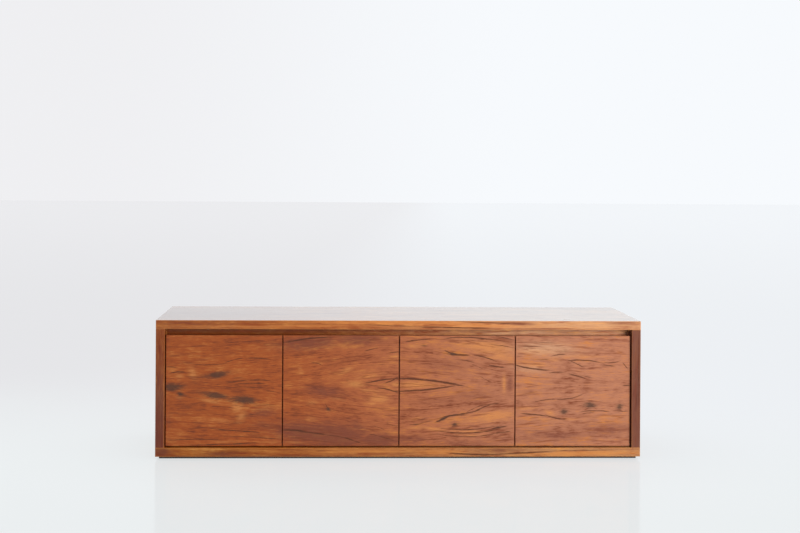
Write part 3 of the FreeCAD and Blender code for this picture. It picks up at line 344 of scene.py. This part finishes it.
class CredenzaHardware(bpy.types.PropertyGroup):
    """Colours of the metal and plastic parts."""
    nickel: colour("Nickel", "Cups, arms, links and plates of the hinges", (0.66, 0.64, 0.60))
    zinc: colour("Zinc", "Screws, pins, strikes and shelf supports", (0.58, 0.59, 0.60))
    plastic: colour("Catch plastic", "Cases of the magnetic catches", (0.085, 0.045, 0.028))
    nylon: colour("Nylon", "Floor glides", (0.72, 0.70, 0.65))
    rubber: colour("Bumper rubber", "Bumpers on the door stops", (0.55, 0.53, 0.50))
    dowel: colour("Dowel beech", "Carcass dowels", (0.60, 0.40, 0.24))


class CredenzaStudio(bpy.types.PropertyGroup):
    """Floor, backdrop and lights."""
    floor: colour("Floor", "Paint of the studio floor", (0.935, 0.972, 0.98))
    backdrop: colour("Backdrop", "Left end of the backdrop", (0.865, 0.865, 0.885))
    backdrop_bright: colour("Bright backdrop", "Right end of the backdrop", (0.93, 0.955, 0.985))
    fill: number("FACTOR", "Fill", "Strength of the even light from all round", 0.48, max=1.0)
    shadow: number("FACTOR", "Shadow", "How much of the light's fall shows on the floor", 0.32,
                   max=1.0)
    key_power: number("POWER", "Key light", "The light on the right", 158.0, unit="POWER")
    sky_power: number("POWER", "Top light", "The light overhead", 40.0, unit="POWER")


# --- node helpers ---
NODE_STEP = 180  # from one node to the next in the editor
VALUE = "NodeSocketFloat"
VECTOR = "NodeSocketVector"
ORIGIN = (0.0, 0.0, 0.0)


class Graph:
    """Adds nodes to a tree and links them."""

    def __init__(self, tree):
        self.tree = tree
        self.column = 0

    def node(self, kind, inputs=(), **settings):
        """Add a node; a socket given as an input is linked, a value is set."""
        node = self.tree.nodes.new(kind)
        node.location = (self.column * NODE_STEP, 0)
        self.column += 1
        for name, value in settings.items():
            setattr(node, name, value)
        for key, value in dict(inputs).items():
            if isinstance(value, bpy.types.NodeSocket):
                self.tree.links.new(value, node.inputs[key])
            else:
                node.inputs[key].default_value = value
        return node

    def math(self, operation, *values, clamp=False):
        """Result of a math node."""
        return self.node("ShaderNodeMath", enumerate(values), operation=operation,
                         use_clamp=clamp).outputs[0]

    def vector(self, operation, *values):
        """Result of a vector math node."""
        return self.node("ShaderNodeVectorMath", enumerate(values),
                         operation=operation).outputs[0]

    def total(self, values):
        """Sum of any number of sockets, or nought."""
        result = 0.0
        for number, value in enumerate(values):
            result = value if number == 0 else self.math("ADD", result, value)
        return result

    def split(self, vector):
        """The three parts of a vector."""
        return self.node("ShaderNodeSeparateXYZ", {0: vector}).outputs

    def join(self, x=0.0, y=0.0, z=0.0):
        """A vector from its parts."""
        return self.node("ShaderNodeCombineXYZ", {0: x, 1: y, 2: z}).outputs[0]

    def noise(self, vector, scale=1.0, detail=2.0, roughness=0.5):
        """Noise between nought and one."""
        inputs = {"Vector": vector, "Scale": scale, "Detail": detail,
                  "Roughness": roughness}
        return self.node("ShaderNodeTexNoise", inputs).outputs[0]

    def stretched(self, parts, scales, detail=2.0, roughness=0.5):
        """Noise over three coordinates, each with its own scale."""
        scaled = [part if scale == 1.0 else self.math("MULTIPLY", part, scale)
                  for part, scale in zip(parts, scales)]
        return self.noise(self.join(*scaled), detail=detail, roughness=roughness)

    def swing(self, noise, amount):
        """Noise moved to lie on either side of nought, times an amount."""
        return self.math("MULTIPLY", self.math("SUBTRACT", noise, NOISE_MIDDLE), amount)

    def ease(self, value, low, high, start=0.0, end=1.0):
        """Smooth step of a value from start, at low, to end, at high."""
        return self.node("ShaderNodeMapRange", enumerate((value, low, high, start, end)),
                         interpolation_type="SMOOTHSTEP").outputs[0]

    def mix(self, factor, first, second, blend="MIX"):
        """Mix of two colours."""
        return self.node("ShaderNodeMix", {0: factor, 6: first, 7: second},
                         data_type="RGBA", blend_type=blend).outputs[2]

    def group(self, tree, **inputs):
        """Place a node group; underscores in the names stand for spaces."""
        named = {name.replace("_", " "): value for name, value in inputs.items()}
        return self.node("ShaderNodeGroup", named, node_tree=tree).outputs


def rgba(values, factor=1.0):
    """A colour with full alpha, its parts times a factor."""
    return tuple(factor * value for value in values) + (1.0,)


def node_group(name, inputs, outputs, fill):
    """Build a shader node group once, from defaults and kinds of output, and return it."""
    tree = bpy.data.node_groups.get(name)
    if tree:
        return tree
    tree = bpy.data.node_groups.new(name, "ShaderNodeTree")
    for label, default in inputs.items():
        kind = VECTOR if isinstance(default, tuple) else VALUE
        socket = tree.interface.new_socket(label, in_out="INPUT", socket_type=kind)
        socket.default_value = default
    for label, kind in outputs.items():
        tree.interface.new_socket(label, in_out="OUTPUT", socket_type=kind)
    graph = Graph(tree)
    entry = graph.node("NodeGroupInput")
    results = fill(graph, entry.outputs)
    graph.node("NodeGroupOutput", results)
    return tree


def grain_frame():
    """Wavy coordinates of a sawn face: X along the grain, Y across it."""
    def fill(graph, sockets):
        x, y, z = graph.split(sockets["Place"])
        waves = graph.stretched((x, y, z), WAVE_SCALES)
        ripples = graph.stretched((x, y, z), RIPPLE_SCALES, detail=5.0, roughness=0.6)
        across = graph.total([y, graph.swing(waves, sockets["Wave"]),
                              graph.swing(ripples, sockets["Ripple"])])
        return {0: graph.join(x, across, z)}

    inputs = {"Place": ORIGIN, "Wave": 0.05, "Ripple": 0.012}
    return node_group("Grain frame", inputs, {"Grain": VECTOR}, fill)


def veneer_mark():
    """Closeness to a tilted, bowed oval: its strength at its middle, half on its outline."""
    def fill(graph, sockets):
        local = graph.node("ShaderNodeMapping", {
            "Vector": sockets["Grain"], "Location": sockets["Middle"],
            "Rotation": graph.join(z=sockets["Tilt"]), "Scale": sockets["Half size"]},
            vector_type="TEXTURE").outputs[0]
        x, y, _ = graph.split(local)
        along = graph.math("MULTIPLY", x, x)
        y = graph.math("SUBTRACT", y, graph.math("MULTIPLY", along, sockets["Rise"]))
        along = graph.math("POWER", along, sockets["Ends"])
        square = graph.math("MULTIPLY_ADD", y, y, along)
        return {0: graph.math("DIVIDE", sockets["Strength"],
                              graph.math("ADD", square, 1.0))}

    inputs = {"Grain": ORIGIN, "Middle": ORIGIN, "Half size": (1.0, 1.0, 1.0), "Tilt": 0.0,
              "Rise": 0.0, "Ends": 1.0, "Strength": 1.0}
    return node_group("Veneer mark", inputs, {"Closeness": VALUE}, fill)


def growth_rings():
    """Tone, growth lines and pores of veneer whose rings close round a pointed eye."""
    def fill(graph, sockets):
        x, y, z = graph.split(sockets["Grain"])
        from_eye = graph.math("SUBTRACT", x, sockets["Eye X"])
        square = graph.math("MULTIPLY", from_eye, from_eye)
        reach = graph.math("POWER", sockets["Reach"], 2.0)
        level = graph.math("ADD", graph.math("DIVIDE", square, reach), 1.0)
        bow = graph.math("MULTIPLY", graph.math("DIVIDE", square, level), sockets["Bow"])
        height = graph.math("ABSOLUTE", graph.math("SUBTRACT", y, sockets["Eye Y"]))
        field = graph.total([height, bow, sockets["Pull"]])
        rings = graph.math("DIVIDE", field, sockets["Spacing"])
        across = {"rings": rings, "face": y}

        def texture(layer):
            parts = (x, across[layer.follows], graph.math("ADD", z, layer.shift))
            return graph.stretched(parts, (layer.along, layer.across, 1.0), layer.detail,
                                   LAYER_ROUGHNESS[layer.follows])

        tone = graph.total([graph.math("MULTIPLY", texture(layer), weight)
                            for layer, weight in TONE_LAYERS])
        excess = sum(weight for _, weight in TONE_LAYERS) / 2 - MIDDLE_TONE
        vein = graph.math("ABSOLUTE", graph.math("SUBTRACT", texture(VEINS), NOISE_MIDDLE))
        lines = graph.math("MULTIPLY", graph.ease(vein, *VEIN_STEPS),
                           graph.ease(texture(BREAKS), *BREAK_STEPS))
        run = graph.math("DIVIDE", x, sockets["Pore length"])
        pores = graph.stretched((run, rings, z), (1.0, PORES_PER_RING, 1.0))
        return {0: graph.math("SUBTRACT", tone, excess), 1: lines,
                2: graph.ease(pores, *PORE_STEPS)}

    inputs = {"Grain": ORIGIN, "Pull": 0.0, "Eye X": 0.0, "Eye Y": 0.0, "Bow": 0.0,
              "Reach": 1.0, "Spacing": 0.02, "Pore length": 0.03}
    outputs = {"Tone": VALUE, "Lines": VALUE, "Pores": VALUE}
    return node_group("Growth rings", inputs, outputs, fill)


def board_edge():
    """Mask of a board's arrises: one along its edges, nought on its faces."""
    def fill(graph, sockets):
        offset = graph.vector("SUBTRACT", sockets["Place"], sockets["Middle"])
        span = graph.vector("ABSOLUTE", offset)
        a, b, c = graph.split(graph.vector("SUBTRACT", sockets["Half size"], span))
        lowest = graph.math("MINIMUM", graph.math("MINIMUM", a, b), c)
        highest = graph.math("MAXIMUM", graph.math("MAXIMUM", a, b), c)
        middle = graph.math("SUBTRACT", graph.total([a, b, c]),
                            graph.math("ADD", lowest, highest))
        return {0: graph.ease(middle, sockets["Width"], 0.0)}

    inputs = {"Place": ORIGIN, "Middle": ORIGIN, "Half size": ORIGIN, "Width": 0.003}
    return node_group("Board edge", inputs, {"Edge": VALUE}, fill)


def handling():
    """Faint wiping marks and dust that change the gloss."""
    def fill(graph, sockets):
        smear = graph.noise(sockets["Place"], SMEAR_SCALE, detail=4.0, roughness=0.6)
        speck = graph.noise(sockets["Place"], SPECK_SCALE, detail=1.0)
        rough = graph.math("ADD", graph.swing(smear, sockets["Amount"]),
                           sockets["Roughness"], clamp=True)
        return {0: rough, 1: speck}

    inputs = {"Place": ORIGIN, "Roughness": 0.3, "Amount": 0.1}
    return node_group("Handling", inputs, {"Roughness": VALUE, "Speck": VALUE}, fill)


# --- materials ---
def new_material(name):
    """An empty node material, its graph and its coordinates."""
    material = bpy.data.materials.new(name)
    material.use_nodes = True
    tree = material.node_tree
    tree.nodes.clear()
    graph = Graph(tree)
    place = graph.node("ShaderNodeTexCoord").outputs["Object"]
    return material, graph, place


def finish_material(graph, shader):
    """Link a shader to the material's output."""
    graph.node("ShaderNodeOutputMaterial", {0: shader.outputs[0]})


def bump(graph, height, distance):
    """Normal from a height."""
    return graph.node("ShaderNodeBump", {"Height": height, "Distance": distance,
                                         "Strength": 1.0}).outputs[0]


def wiped(graph, place, roughness, uneven):
    """Uneven roughness, and the specks of dust."""
    return graph.group(handling(), Place=place, Roughness=roughness, Amount=uneven)


def plain_shader(graph, base, roughness, normal, metallic=0.0):
    """Surface of a solid, a plated or a moulded piece."""
    return graph.node("ShaderNodeBsdfPrincipled", {
        "Base Color": base, "Roughness": roughness, "Normal": normal,
        "Metallic": metallic})


def along_grain(graph, place, along, front, shift=0.0):
    """Coordinates that follow the grain of a board: along it, across it, and its depth.

    Across the grain they run on round the long arrises, from the front face. The ends
    carry a strip whose grain runs along Y.
    """
    parts = dict(zip("XYZ", graph.split(place)))
    face = parts["X" if along == "Z" else "Z"]
    inward = graph.math("SUBTRACT", parts["Y"], front)
    depth = graph.math("MULTIPLY_ADD", inward, DEPTH_SHARE, shift)
    sides = graph.node("ShaderNodeTexCoord").outputs["Normal"]
    normal = dict(zip("XYZ", graph.split(sides)))
    end = graph.math("GREATER_THAN", graph.math("ABSOLUTE", normal[along]), END_FACING)
    long_faces = graph.join(parts[along], graph.math("ADD", face, inward), depth)
    strip = graph.join(parts["Y"], face, shift + END_SHIFT)
    return graph.node("ShaderNodeMix", {0: end, 4: long_faces, 5: strip},
                      data_type="VECTOR").outputs[1]


def lay_marks(graph, ground, kinds, marks, fray):
    """Ground with the marks of some kinds laid on it, one kind after the other."""
    veneer = bpy.context.scene.credenza_veneer
    for name, kind in kinds.items():
        near = [closeness for closeness, mark in marks if mark.kind == name]
        if not near:
            continue
        nearest = 0.0
        for closeness in near:
            nearest = graph.math("MAXIMUM", closeness, nearest)
        frayed = graph.math("MULTIPLY_ADD", nearest, fray, nearest)
        amount = graph.ease(frayed, kind.start, kind.full, 0.0, kind.weight)
        ground = graph.mix(amount, ground, rgba(getattr(veneer, name)))
    return ground


def veneer_colour(graph, drawn, rings, colours, marks):
    """Colour of a veneer from its rings, veins, pores and marks."""
    middle, pale, dark = colours
    tone, lines, pores = rings
    noise = graph.stretched(graph.split(drawn), FRAY_SCALES, detail=5.0, roughness=0.7)
    fray = graph.math("MULTIPLY_ADD", noise, FRAY, -FRAY / 2)
    ground = graph.mix(graph.ease(tone, MIDDLE_TONE, PALE_TONE), middle, pale)
    ground = graph.mix(graph.ease(tone, MIDDLE_TONE, DARK_TONE), ground, dark)
    ground = lay_marks(graph, ground, PATCHES, marks, fray)
    ground = graph.mix(graph.math("MULTIPLY", lines, VEIN_WEIGHT), ground, dark)
    ground = lay_marks(graph, ground, DARK_MARKS, marks, fray)
    return graph.mix(graph.math("MULTIPLY", pores, PORE_WEIGHT), ground, dark)


def read_marks(rows_by_kind, left, bottom):
    """Marks in metres of the frame, from a board's rows and its lower left corner."""
    marks = []
    for kind, rows in rows_by_kind.items():
        for along, across, long, third, fourth, percent in rows:
            strength = percent / 100
            if kind == "line":
                tall = THINNEST_LINE + strength * (THICKEST_LINE - THINNEST_LINE)
                tilt, rise = third, fourth * MM
            else:
                tall, tilt, rise = third * MM, fourth, 0.0
            marks.append(Mark(kind, left + along * MM, bottom + across * MM, long * MM,
                              tall, tilt, rise, strength))
    return marks


def place_marks(graph, drawn, marks):
    """The marks of a board, each with its closeness."""
    placed = []
    for mark in marks:
        closeness = graph.group(veneer_mark(), Grain=drawn,
                                Middle=(mark.along, mark.across, 0.0),
                                Half_size=(mark.long, mark.tall, 1.0),
                                Tilt=math.radians(mark.tilt), Rise=mark.rise / mark.tall,
                                Ends=MARK_KINDS[mark.kind].ends,
                                Strength=mark.strength)[0]
        placed.append((closeness, mark))
    return placed


def ring_colours(graph, place, family):
    """Middle, pale and dark colours of the doors' or the boards' rings."""
    veneer = bpy.context.scene.credenza_veneer
    names = (family, family + "_right", family + "_pale", family + "_dark")
    left, right, pale, dark = [rgba(getattr(veneer, name)) for name in names]
    # The ground pales towards the right: partly the veneer's own tone, partly painted sheen of the
    # light from the right.
    rightward = graph.ease(graph.split(place)[0], *GROUND_SIDES)
    return graph.mix(rightward, left, right), pale, dark


def wavy(graph, flat, wave, ripple):
    """Coordinates with waves and ripples across the grain."""
    return graph.group(grain_frame(), Place=flat, Wave=wave, Ripple=ripple)[0]


def veneer_rings(graph, flat, finish, eye, pull=0.0):
    """Tone, veins and pores of a veneer whose rings close round an eye."""
    veneer = bpy.context.scene.credenza_veneer
    return graph.group(growth_rings(), Grain=wavy(graph, flat, finish.wave, finish.ripple),
                       Pull=pull, Eye_X=eye[0], Eye_Y=eye[1], Bow=finish.bow,
                       Reach=finish.reach, Spacing=veneer.ring_spacing * finish.spacing,
                       Pore_length=veneer.pore_length)


def recoloured_arrises(graph, place, box, finish, ground, arris_colour):
    """Ground with the arrises of a board mixed towards another colour; on the boards this is the
    pale rings' colour, a painted highlight, and on the doors the dark rings' colour.
    """
    low, high = box
    edge = graph.group(board_edge(), Place=place, Middle=(low + high) / 2,
                       Half_size=(high - low) / 2, Width=finish.worn)[0]
    return graph.mix(graph.math("MULTIPLY", edge, finish.wear), ground, arris_colour)


def sunken(graph, pores, depth):
    """Normal of a face with open pores."""
    return bump(graph, graph.math("MULTIPLY", pores, -1.0), depth)


def veneer_shader(graph, place, ground, pores, finish, lacquer=0.0):
    """Oiled veneer, with clear lacquer over it where the mask says so."""
    return graph.node("ShaderNodeBsdfPrincipled", {
        "Base Color": ground, "Normal": sunken(graph, pores, PORE_DEPTH),
        "Roughness": wiped(graph, place, finish.roughness, finish.uneven)[0],
        "IOR": IOR, "Specular IOR Level": finish.shine, "Coat Weight": lacquer,
        "Coat Roughness": LACQUER_ROUGHNESS, "Coat IOR": IOR})


def door_material(name, box, all_marks):
    """Figured door veneer, with the marks that reach this door."""
    low, high = box
    material, graph, place = new_material("veneer_" + name)
    flat = along_grain(graph, place, "X", low.y)
    drawn = wavy(graph, flat, 0.0, DOOR_FINISH.mark_ripple)
    near = [mark for mark in all_marks
            if low.x - mark.long < mark.along < high.x + mark.long]
    marks = place_marks(graph, drawn, near)
    pulls = [graph.math("MULTIPLY", closeness, mark.tall * KNOT_PULL)
             for closeness, mark in marks if mark.kind == "knot"]
    rings = veneer_rings(graph, flat, DOOR_FINISH, (EYE_X, EYE_Z), graph.total(pulls))
    colours = ring_colours(graph, place, "door")
    ground = veneer_colour(graph, drawn, rings, colours, marks)
    # The door arrises are darkened towards the dark rings' colour.
    ground = recoloured_arrises(graph, place, box, DOOR_FINISH, ground, colours[2])
    finish_material(graph, veneer_shader(graph, place, ground, rings[2], DOOR_FINISH))
    return material


def board_material(name, box, along, shift, tint):
    """Crown-cut veneer of one board; the lacquered one shines on top."""
    low, high = box
    material, graph, place = new_material("veneer_" + name)
    flat = along_grain(graph, place, along, low.y, shift)
    drawn = wavy(graph, flat, 0.0, BOARD_FINISH.mark_ripple)
    left, bottom, top = ((low.x, low.z, high.z) if along == "X"
                         else (low.z, low.x, high.x))
    marks = place_marks(graph, drawn, read_marks(BOARD_MARKS.get(name, {}), left, bottom))
    eye = (0.0, top + (high.y - low.y) / 2)
    rings = veneer_rings(graph, flat, BOARD_FINISH, eye)
    colours = ring_colours(graph, place, "board")
    ground = veneer_colour(graph, drawn, rings, colours, marks)
    # The board arrises are paled: a painted highlight along the edges.
    ground = recoloured_arrises(graph, place, box, BOARD_FINISH, ground, colours[1])
    ground = graph.mix(1.0, ground, rgba(tint), blend="MULTIPLY")
    if name == LACQUERED_BOARD:
        shader = lacquered_shader(graph, place, ground, rings[2])
    else:
        shader = veneer_shader(graph, place, ground, rings[2], BOARD_FINISH)
    finish_material(graph, shader)
    return material


def lacquered_shader(graph, place, ground, pores):
    """Veneer whose upper face has a clear lacquer and a pale haze."""
    up = graph.split(graph.node("ShaderNodeNewGeometry").outputs["Normal"])[2]
    lacquer = graph.math("GREATER_THAN", up, FACING_UP)
    shader = veneer_shader(graph, place, ground, pores, BOARD_FINISH, lacquer)
    shader.inputs["Sheen Weight"].default_value = bpy.context.scene.credenza_veneer.haze
    shader.inputs["Sheen Roughness"].default_value = HAZE_ROUGHNESS
    shader.inputs["Sheen Tint"].default_value = rgba(HAZE_TINT)
    return shader


def solid_material(name, stain, roughness):
    """Solid wood with its pores showing."""
    material, graph, place = new_material(name)
    flat = along_grain(graph, place, "X", 0.0, SOLID_SHIFT)
    grain = wavy(graph, flat, SOLID_WAVE, SOLID_RIPPLE)
    tone, _, pores = graph.group(growth_rings(), Grain=grain, Eye_Y=SOLID_EYE,
                                 Spacing=SOLID_SPACING)
    base = graph.mix(graph.ease(tone, *NOISE_ENDS), rgba(stain), rgba(stain, SOLID_PALE))
    gloss = wiped(graph, place, roughness, SOLID_UNEVEN)[0]
    normal = sunken(graph, pores, SOLID_PORE_DEPTH)
    finish_material(graph, plain_shader(graph, base, gloss, normal))
    return material


def metal_material(name, plating, roughness, along_y):
    """Plated metal, with the scale of its texture along Y."""
    material, graph, place = new_material(name)
    scales = (METAL_SCALE, along_y, METAL_SCALE)
    texture = graph.stretched(graph.split(place), scales)
    base = graph.mix(graph.ease(texture, *NOISE_ENDS), rgba(plating, METAL_DULL),
                     rgba(plating))
    gloss = wiped(graph, place, roughness, METAL_UNEVEN)[0]
    normal = bump(graph, texture, METAL_DEPTH)
    finish_material(graph, plain_shader(graph, base, gloss, normal, metallic=1.0))
    return material


def moulded_material(name, resin, roughness):
    """Moulded plastic, nylon or rubber with a fine texture."""
    material, graph, place = new_material(name)
    gloss, speck = wiped(graph, place, roughness, MOULDED_UNEVEN)
    base = graph.mix(speck, rgba(resin, MOULDED_DULL), rgba(resin))
    normal = bump(graph, speck, MOULDED_DEPTH)
    finish_material(graph, plain_shader(graph, base, gloss, normal))
    return material


def dress(name, material):
    """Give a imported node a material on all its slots."""
    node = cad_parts[name]
    if not node.material_slots:
        node.data.materials.append(material)
    for slot in node.material_slots:
        slot.link = "OBJECT"
        slot.material = material


def dress_all(prefixes, material):
    """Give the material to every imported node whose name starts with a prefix."""
    names = [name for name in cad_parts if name.startswith(tuple(prefixes))]
    if not names:
        raise RuntimeError("no node starts with " + ", ".join(prefixes))
    for name in names:
        dress(name, material)


# --- operators ---
class CREDENZA_OT_carcass(bpy.types.Operator):
    """Veneer the top, bottom, sides and partition"""
    bl_idname = "credenza.carcass"
    bl_label = "Carcass boards"

    def execute(self, context):
        for name, along, shift, tint in CARCASS_BOARDS:
            dress(name, board_material(name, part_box(name), along, shift, tint))
        return {"FINISHED"}


class CREDENZA_OT_inside(bpy.types.Operator):
    """Veneer the front rail, back panels, shelves and stop blocks"""
    bl_idname = "credenza.inside"
    bl_label = "Inside boards"

    def execute(self, context):
        for name, shift, tint in INSIDE_BOARDS:
            dress(name, board_material(name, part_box(name), "X", shift, (tint, tint, tint)))
        return {"FINISHED"}


class CREDENZA_OT_doors(bpy.types.Operator):
    """Lay one run of figured veneer over the four doors"""
    bl_idname = "credenza.doors"
    bl_label = "Doors"

    def execute(self, context):
        marks = []
        for door, rows in DOOR_MARKS.items():
            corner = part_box("door_" + door)[0]
            marks += read_marks(rows, corner.x, corner.z)
        for door in DOOR_MARKS:
            name = "door_" + door
            dress(name, door_material(name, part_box(name), marks))
        return {"FINISHED"}


class CREDENZA_OT_plinth(bpy.types.Operator):
    """Stain the plinth and finish its glides"""
    bl_idname = "credenza.plinth"
    bl_label = "Plinth"

    def execute(self, context):
        hardware = context.scene.credenza_hardware
        stain = solid_material("plinth_stain", context.scene.credenza_veneer.plinth,
                               roughness=0.55)
        dress_all(["plinth_"], stain)
        dress("floor_glides", moulded_material("nylon", hardware.nylon, roughness=0.45))
        return {"FINISHED"}


class CREDENZA_OT_hinges(bpy.types.Operator):
    """Plate the cups, links, arms and mounting plates of the hinges"""
    bl_idname = "credenza.hinges"
    bl_label = "Hinges"

    def execute(self, context):
        nickel = metal_material("nickel", context.scene.credenza_hardware.nickel,
                                roughness=0.26, along_y=BRUSHED)
        dress_all(["hinge_cups", "hinge_arms", "outer_links", "inner_links",
                   "hinge_mounting"], nickel)
        return {"FINISHED"}


class CREDENZA_OT_fittings(bpy.types.Operator):
    """Finish screws, pins, catches, strikes, supports, bumpers and dowels"""
    bl_idname = "credenza.fittings"
    bl_label = "Fittings"

    def execute(self, context):
        hardware = context.scene.credenza_hardware
        zinc = metal_material("zinc", hardware.zinc, roughness=0.32, along_y=TUMBLED)
        dress_all(["cup_pins", "cup_screws", "hinge_plate_screws", "hinge_arm_screws",
                   "catch_screws", "catch_pole_plates", "strike_plate", "plinth_screws",
                   "shelf_supports"], zinc)
        dress("magnetic_catches",
              moulded_material("catch_plastic", hardware.plastic, roughness=0.42))
        dress("door_bumpers", moulded_material("rubber", hardware.rubber, roughness=0.5))
        dress("carcass_dowels",
              solid_material("dowel_beech", hardware.dowel, roughness=0.6))
        return {"FINISHED"}


def area_light(name, light, power):
    """A soft rectangular light that points at a place."""
    data = bpy.data.lights.new(name, "AREA")
    data.shape = "RECTANGLE"
    data.size, data.size_y = light.size
    data.energy = power
    data.color = light.tint
    lamp = bpy.data.objects.new(name, data)
    lamp.location = light.place
    beam = Vector(light.aim) - Vector(light.place)
    lamp.rotation_euler = beam.to_track_quat("-Z", "Y").to_euler()
    bpy.context.scene.collection.objects.link(lamp)
    return lamp


def seen_by_camera(graph):
    """One for camera, glossy and transmission rays, nought for the rest."""
    path = graph.node("ShaderNodeLightPath").outputs
    seen = graph.math("ADD", path["Is Camera Ray"], path["Is Glossy Ray"])
    return graph.math("ADD", seen, path["Is Transmission Ray"], clamp=True)


class CREDENZA_OT_stage(bpy.types.Operator):
    """Set up the floor, backdrop, lights and camera"""
    bl_idname = "credenza.stage"
    bl_label = "Stage"

    def execute(self, context):
        studio = context.scene.credenza_studio
        floor = self.make_floor(studio)
        self.make_world(studio)
        key = area_light("key_light", KEY_LIGHT, studio.key_power)
        key.visible_glossy = False
        spared = bpy.data.collections.new("spared_by_key_light")
        spared.objects.link(floor)
        spared.collection_objects[0].light_linking.link_state = "EXCLUDE"
        key.light_linking.receiver_collection = spared
        area_light("top_light", TOP_LIGHT, studio.sky_power)
        self.make_camera(context.scene)
        return {"FINISHED"}

    def make_floor(self, studio):
        """A wide painted floor."""
        mesh = bpy.data.meshes.new("studio_floor")
        form = bmesh.new()
        bmesh.ops.create_grid(form, x_segments=FLOOR_CELLS, y_segments=FLOOR_CELLS,
                              size=FLOOR_HALF)
        form.to_mesh(mesh)
        form.free()
        floor = bpy.data.objects.new("studio_floor", mesh)
        bpy.context.scene.collection.objects.link(floor)
        material, graph, place = new_material("studio_paint")
        cloud = graph.noise(place, CLOUD_SCALE)
        x, y, _ = graph.split(place)
        slanted = graph.math("MULTIPLY_ADD", y, FLOOR_SLANT, x)
        rightward = graph.ease(slanted, *FLOOR_SIDES)
        wall = graph.mix(rightward, rgba(studio.backdrop), rgba(studio.backdrop_bright))
        backward = graph.math("MULTIPLY_ADD", cloud, CLOUD_LEAD, y)
        backward = graph.math("MULTIPLY_ADD", rightward, FLOOR_LEAD, backward)
        base = graph.mix(graph.ease(backward, *FLOOR_FADE), rgba(studio.floor), wall)
        paint = graph.node("ShaderNodeBsdfPrincipled", {"Base Color": base,
                                                        "Roughness": FLOOR_ROUGHNESS})
        glow = graph.node("ShaderNodeEmission", {"Color": base, "Strength": 1.0})
        even = graph.math("MULTIPLY", seen_by_camera(graph), 1.0 - studio.shadow)
        shader = graph.node("ShaderNodeMixShader", {0: even, 1: paint.outputs[0],
                                                    2: glow.outputs[0]})
        finish_material(graph, shader)
        mesh.materials.append(material)
        return floor

    def make_world(self, studio):
        """Pale backdrop, and a dimmer even light from it."""
        world = bpy.data.worlds.new("studio_world")
        bpy.context.scene.world = world
        world.use_nodes = True
        world.node_tree.nodes.clear()
        graph = Graph(world.node_tree)
        strength = graph.ease(seen_by_camera(graph), 0.0, 1.0, studio.fill, 1.0)
        place = graph.node("ShaderNodeTexCoord").outputs["Generated"]
        rightward = graph.ease(graph.split(place)[0], *BACKDROP_SIDES)
        wall = graph.mix(rightward, rgba(studio.backdrop), rgba(studio.backdrop_bright))
        light = graph.node("ShaderNodeBackground", {"Color": wall, "Strength": strength})
        graph.node("ShaderNodeOutputWorld", {0: light.outputs[0]})

    def make_camera(self, scene):
        """The camera that looks at the doors from just left of the middle."""
        data = bpy.data.cameras.new("camera")
        data.sensor_width = CAMERA_SENSOR
        data.lens = CAMERA_LENS
        data.shift_x, data.shift_y = CAMERA_SHIFT
        data.clip_end = CAMERA_REACH
        camera = bpy.data.objects.new("camera", data)
        turn = (Matrix.Rotation(math.radians(-CAMERA_YAW), 4, "Z")
                @ Matrix.Rotation(math.radians(90.0), 4, "X")
                @ Matrix.Rotation(math.radians(CAMERA_ROLL), 4, "Z"))
        camera.matrix_world = Matrix.Translation(CAMERA_PLACE) @ turn
        scene.collection.objects.link(camera)
        scene.camera = camera
        scene.view_settings.view_transform = "Standard"


class CREDENZA_PT_panel(bpy.types.Panel):
    """Buttons and values of the credenza"""
    bl_label = "Office credenza"
    bl_idname = "CREDENZA_PT_panel"
    bl_space_type = "VIEW_3D"
    bl_region_type = "UI"
    bl_category = "Credenza"

    def draw(self, context):
        for operator in OPERATORS:
            self.layout.operator(operator.bl_idname)
        for place, group in GROUPS:
            box = self.layout.box()
            for name in group.__annotations__:
                box.prop(getattr(context.scene, place), name)


GROUPS = (("credenza_veneer", CredenzaVeneer), ("credenza_hardware", CredenzaHardware),
          ("credenza_studio", CredenzaStudio))
OPERATORS = (CREDENZA_OT_carcass, CREDENZA_OT_inside, CREDENZA_OT_doors,
             CREDENZA_OT_plinth, CREDENZA_OT_hinges, CREDENZA_OT_fittings,
             CREDENZA_OT_stage)


def register():
    """Add the classes and the scene's property groups."""
    for name, group in GROUPS:
        bpy.utils.register_class(group)
        setattr(bpy.types.Scene, name, PointerProperty(type=group))
    for kind in OPERATORS + (CREDENZA_PT_panel,):
        bpy.utils.register_class(kind)


def unregister():
    """Take them away again."""
    for kind in reversed(OPERATORS + (CREDENZA_PT_panel,)):
        bpy.utils.unregister_class(kind)
    for name, group in reversed(GROUPS):
        delattr(bpy.types.Scene, name)
        bpy.utils.unregister_class(group)


def main():
    """Run every operator in order."""
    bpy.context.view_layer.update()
    register()
    for operator in OPERATORS:
        section, name = operator.bl_idname.split(".")
        getattr(getattr(bpy.ops, section), name)()


if __name__ == "__main__":
    main()
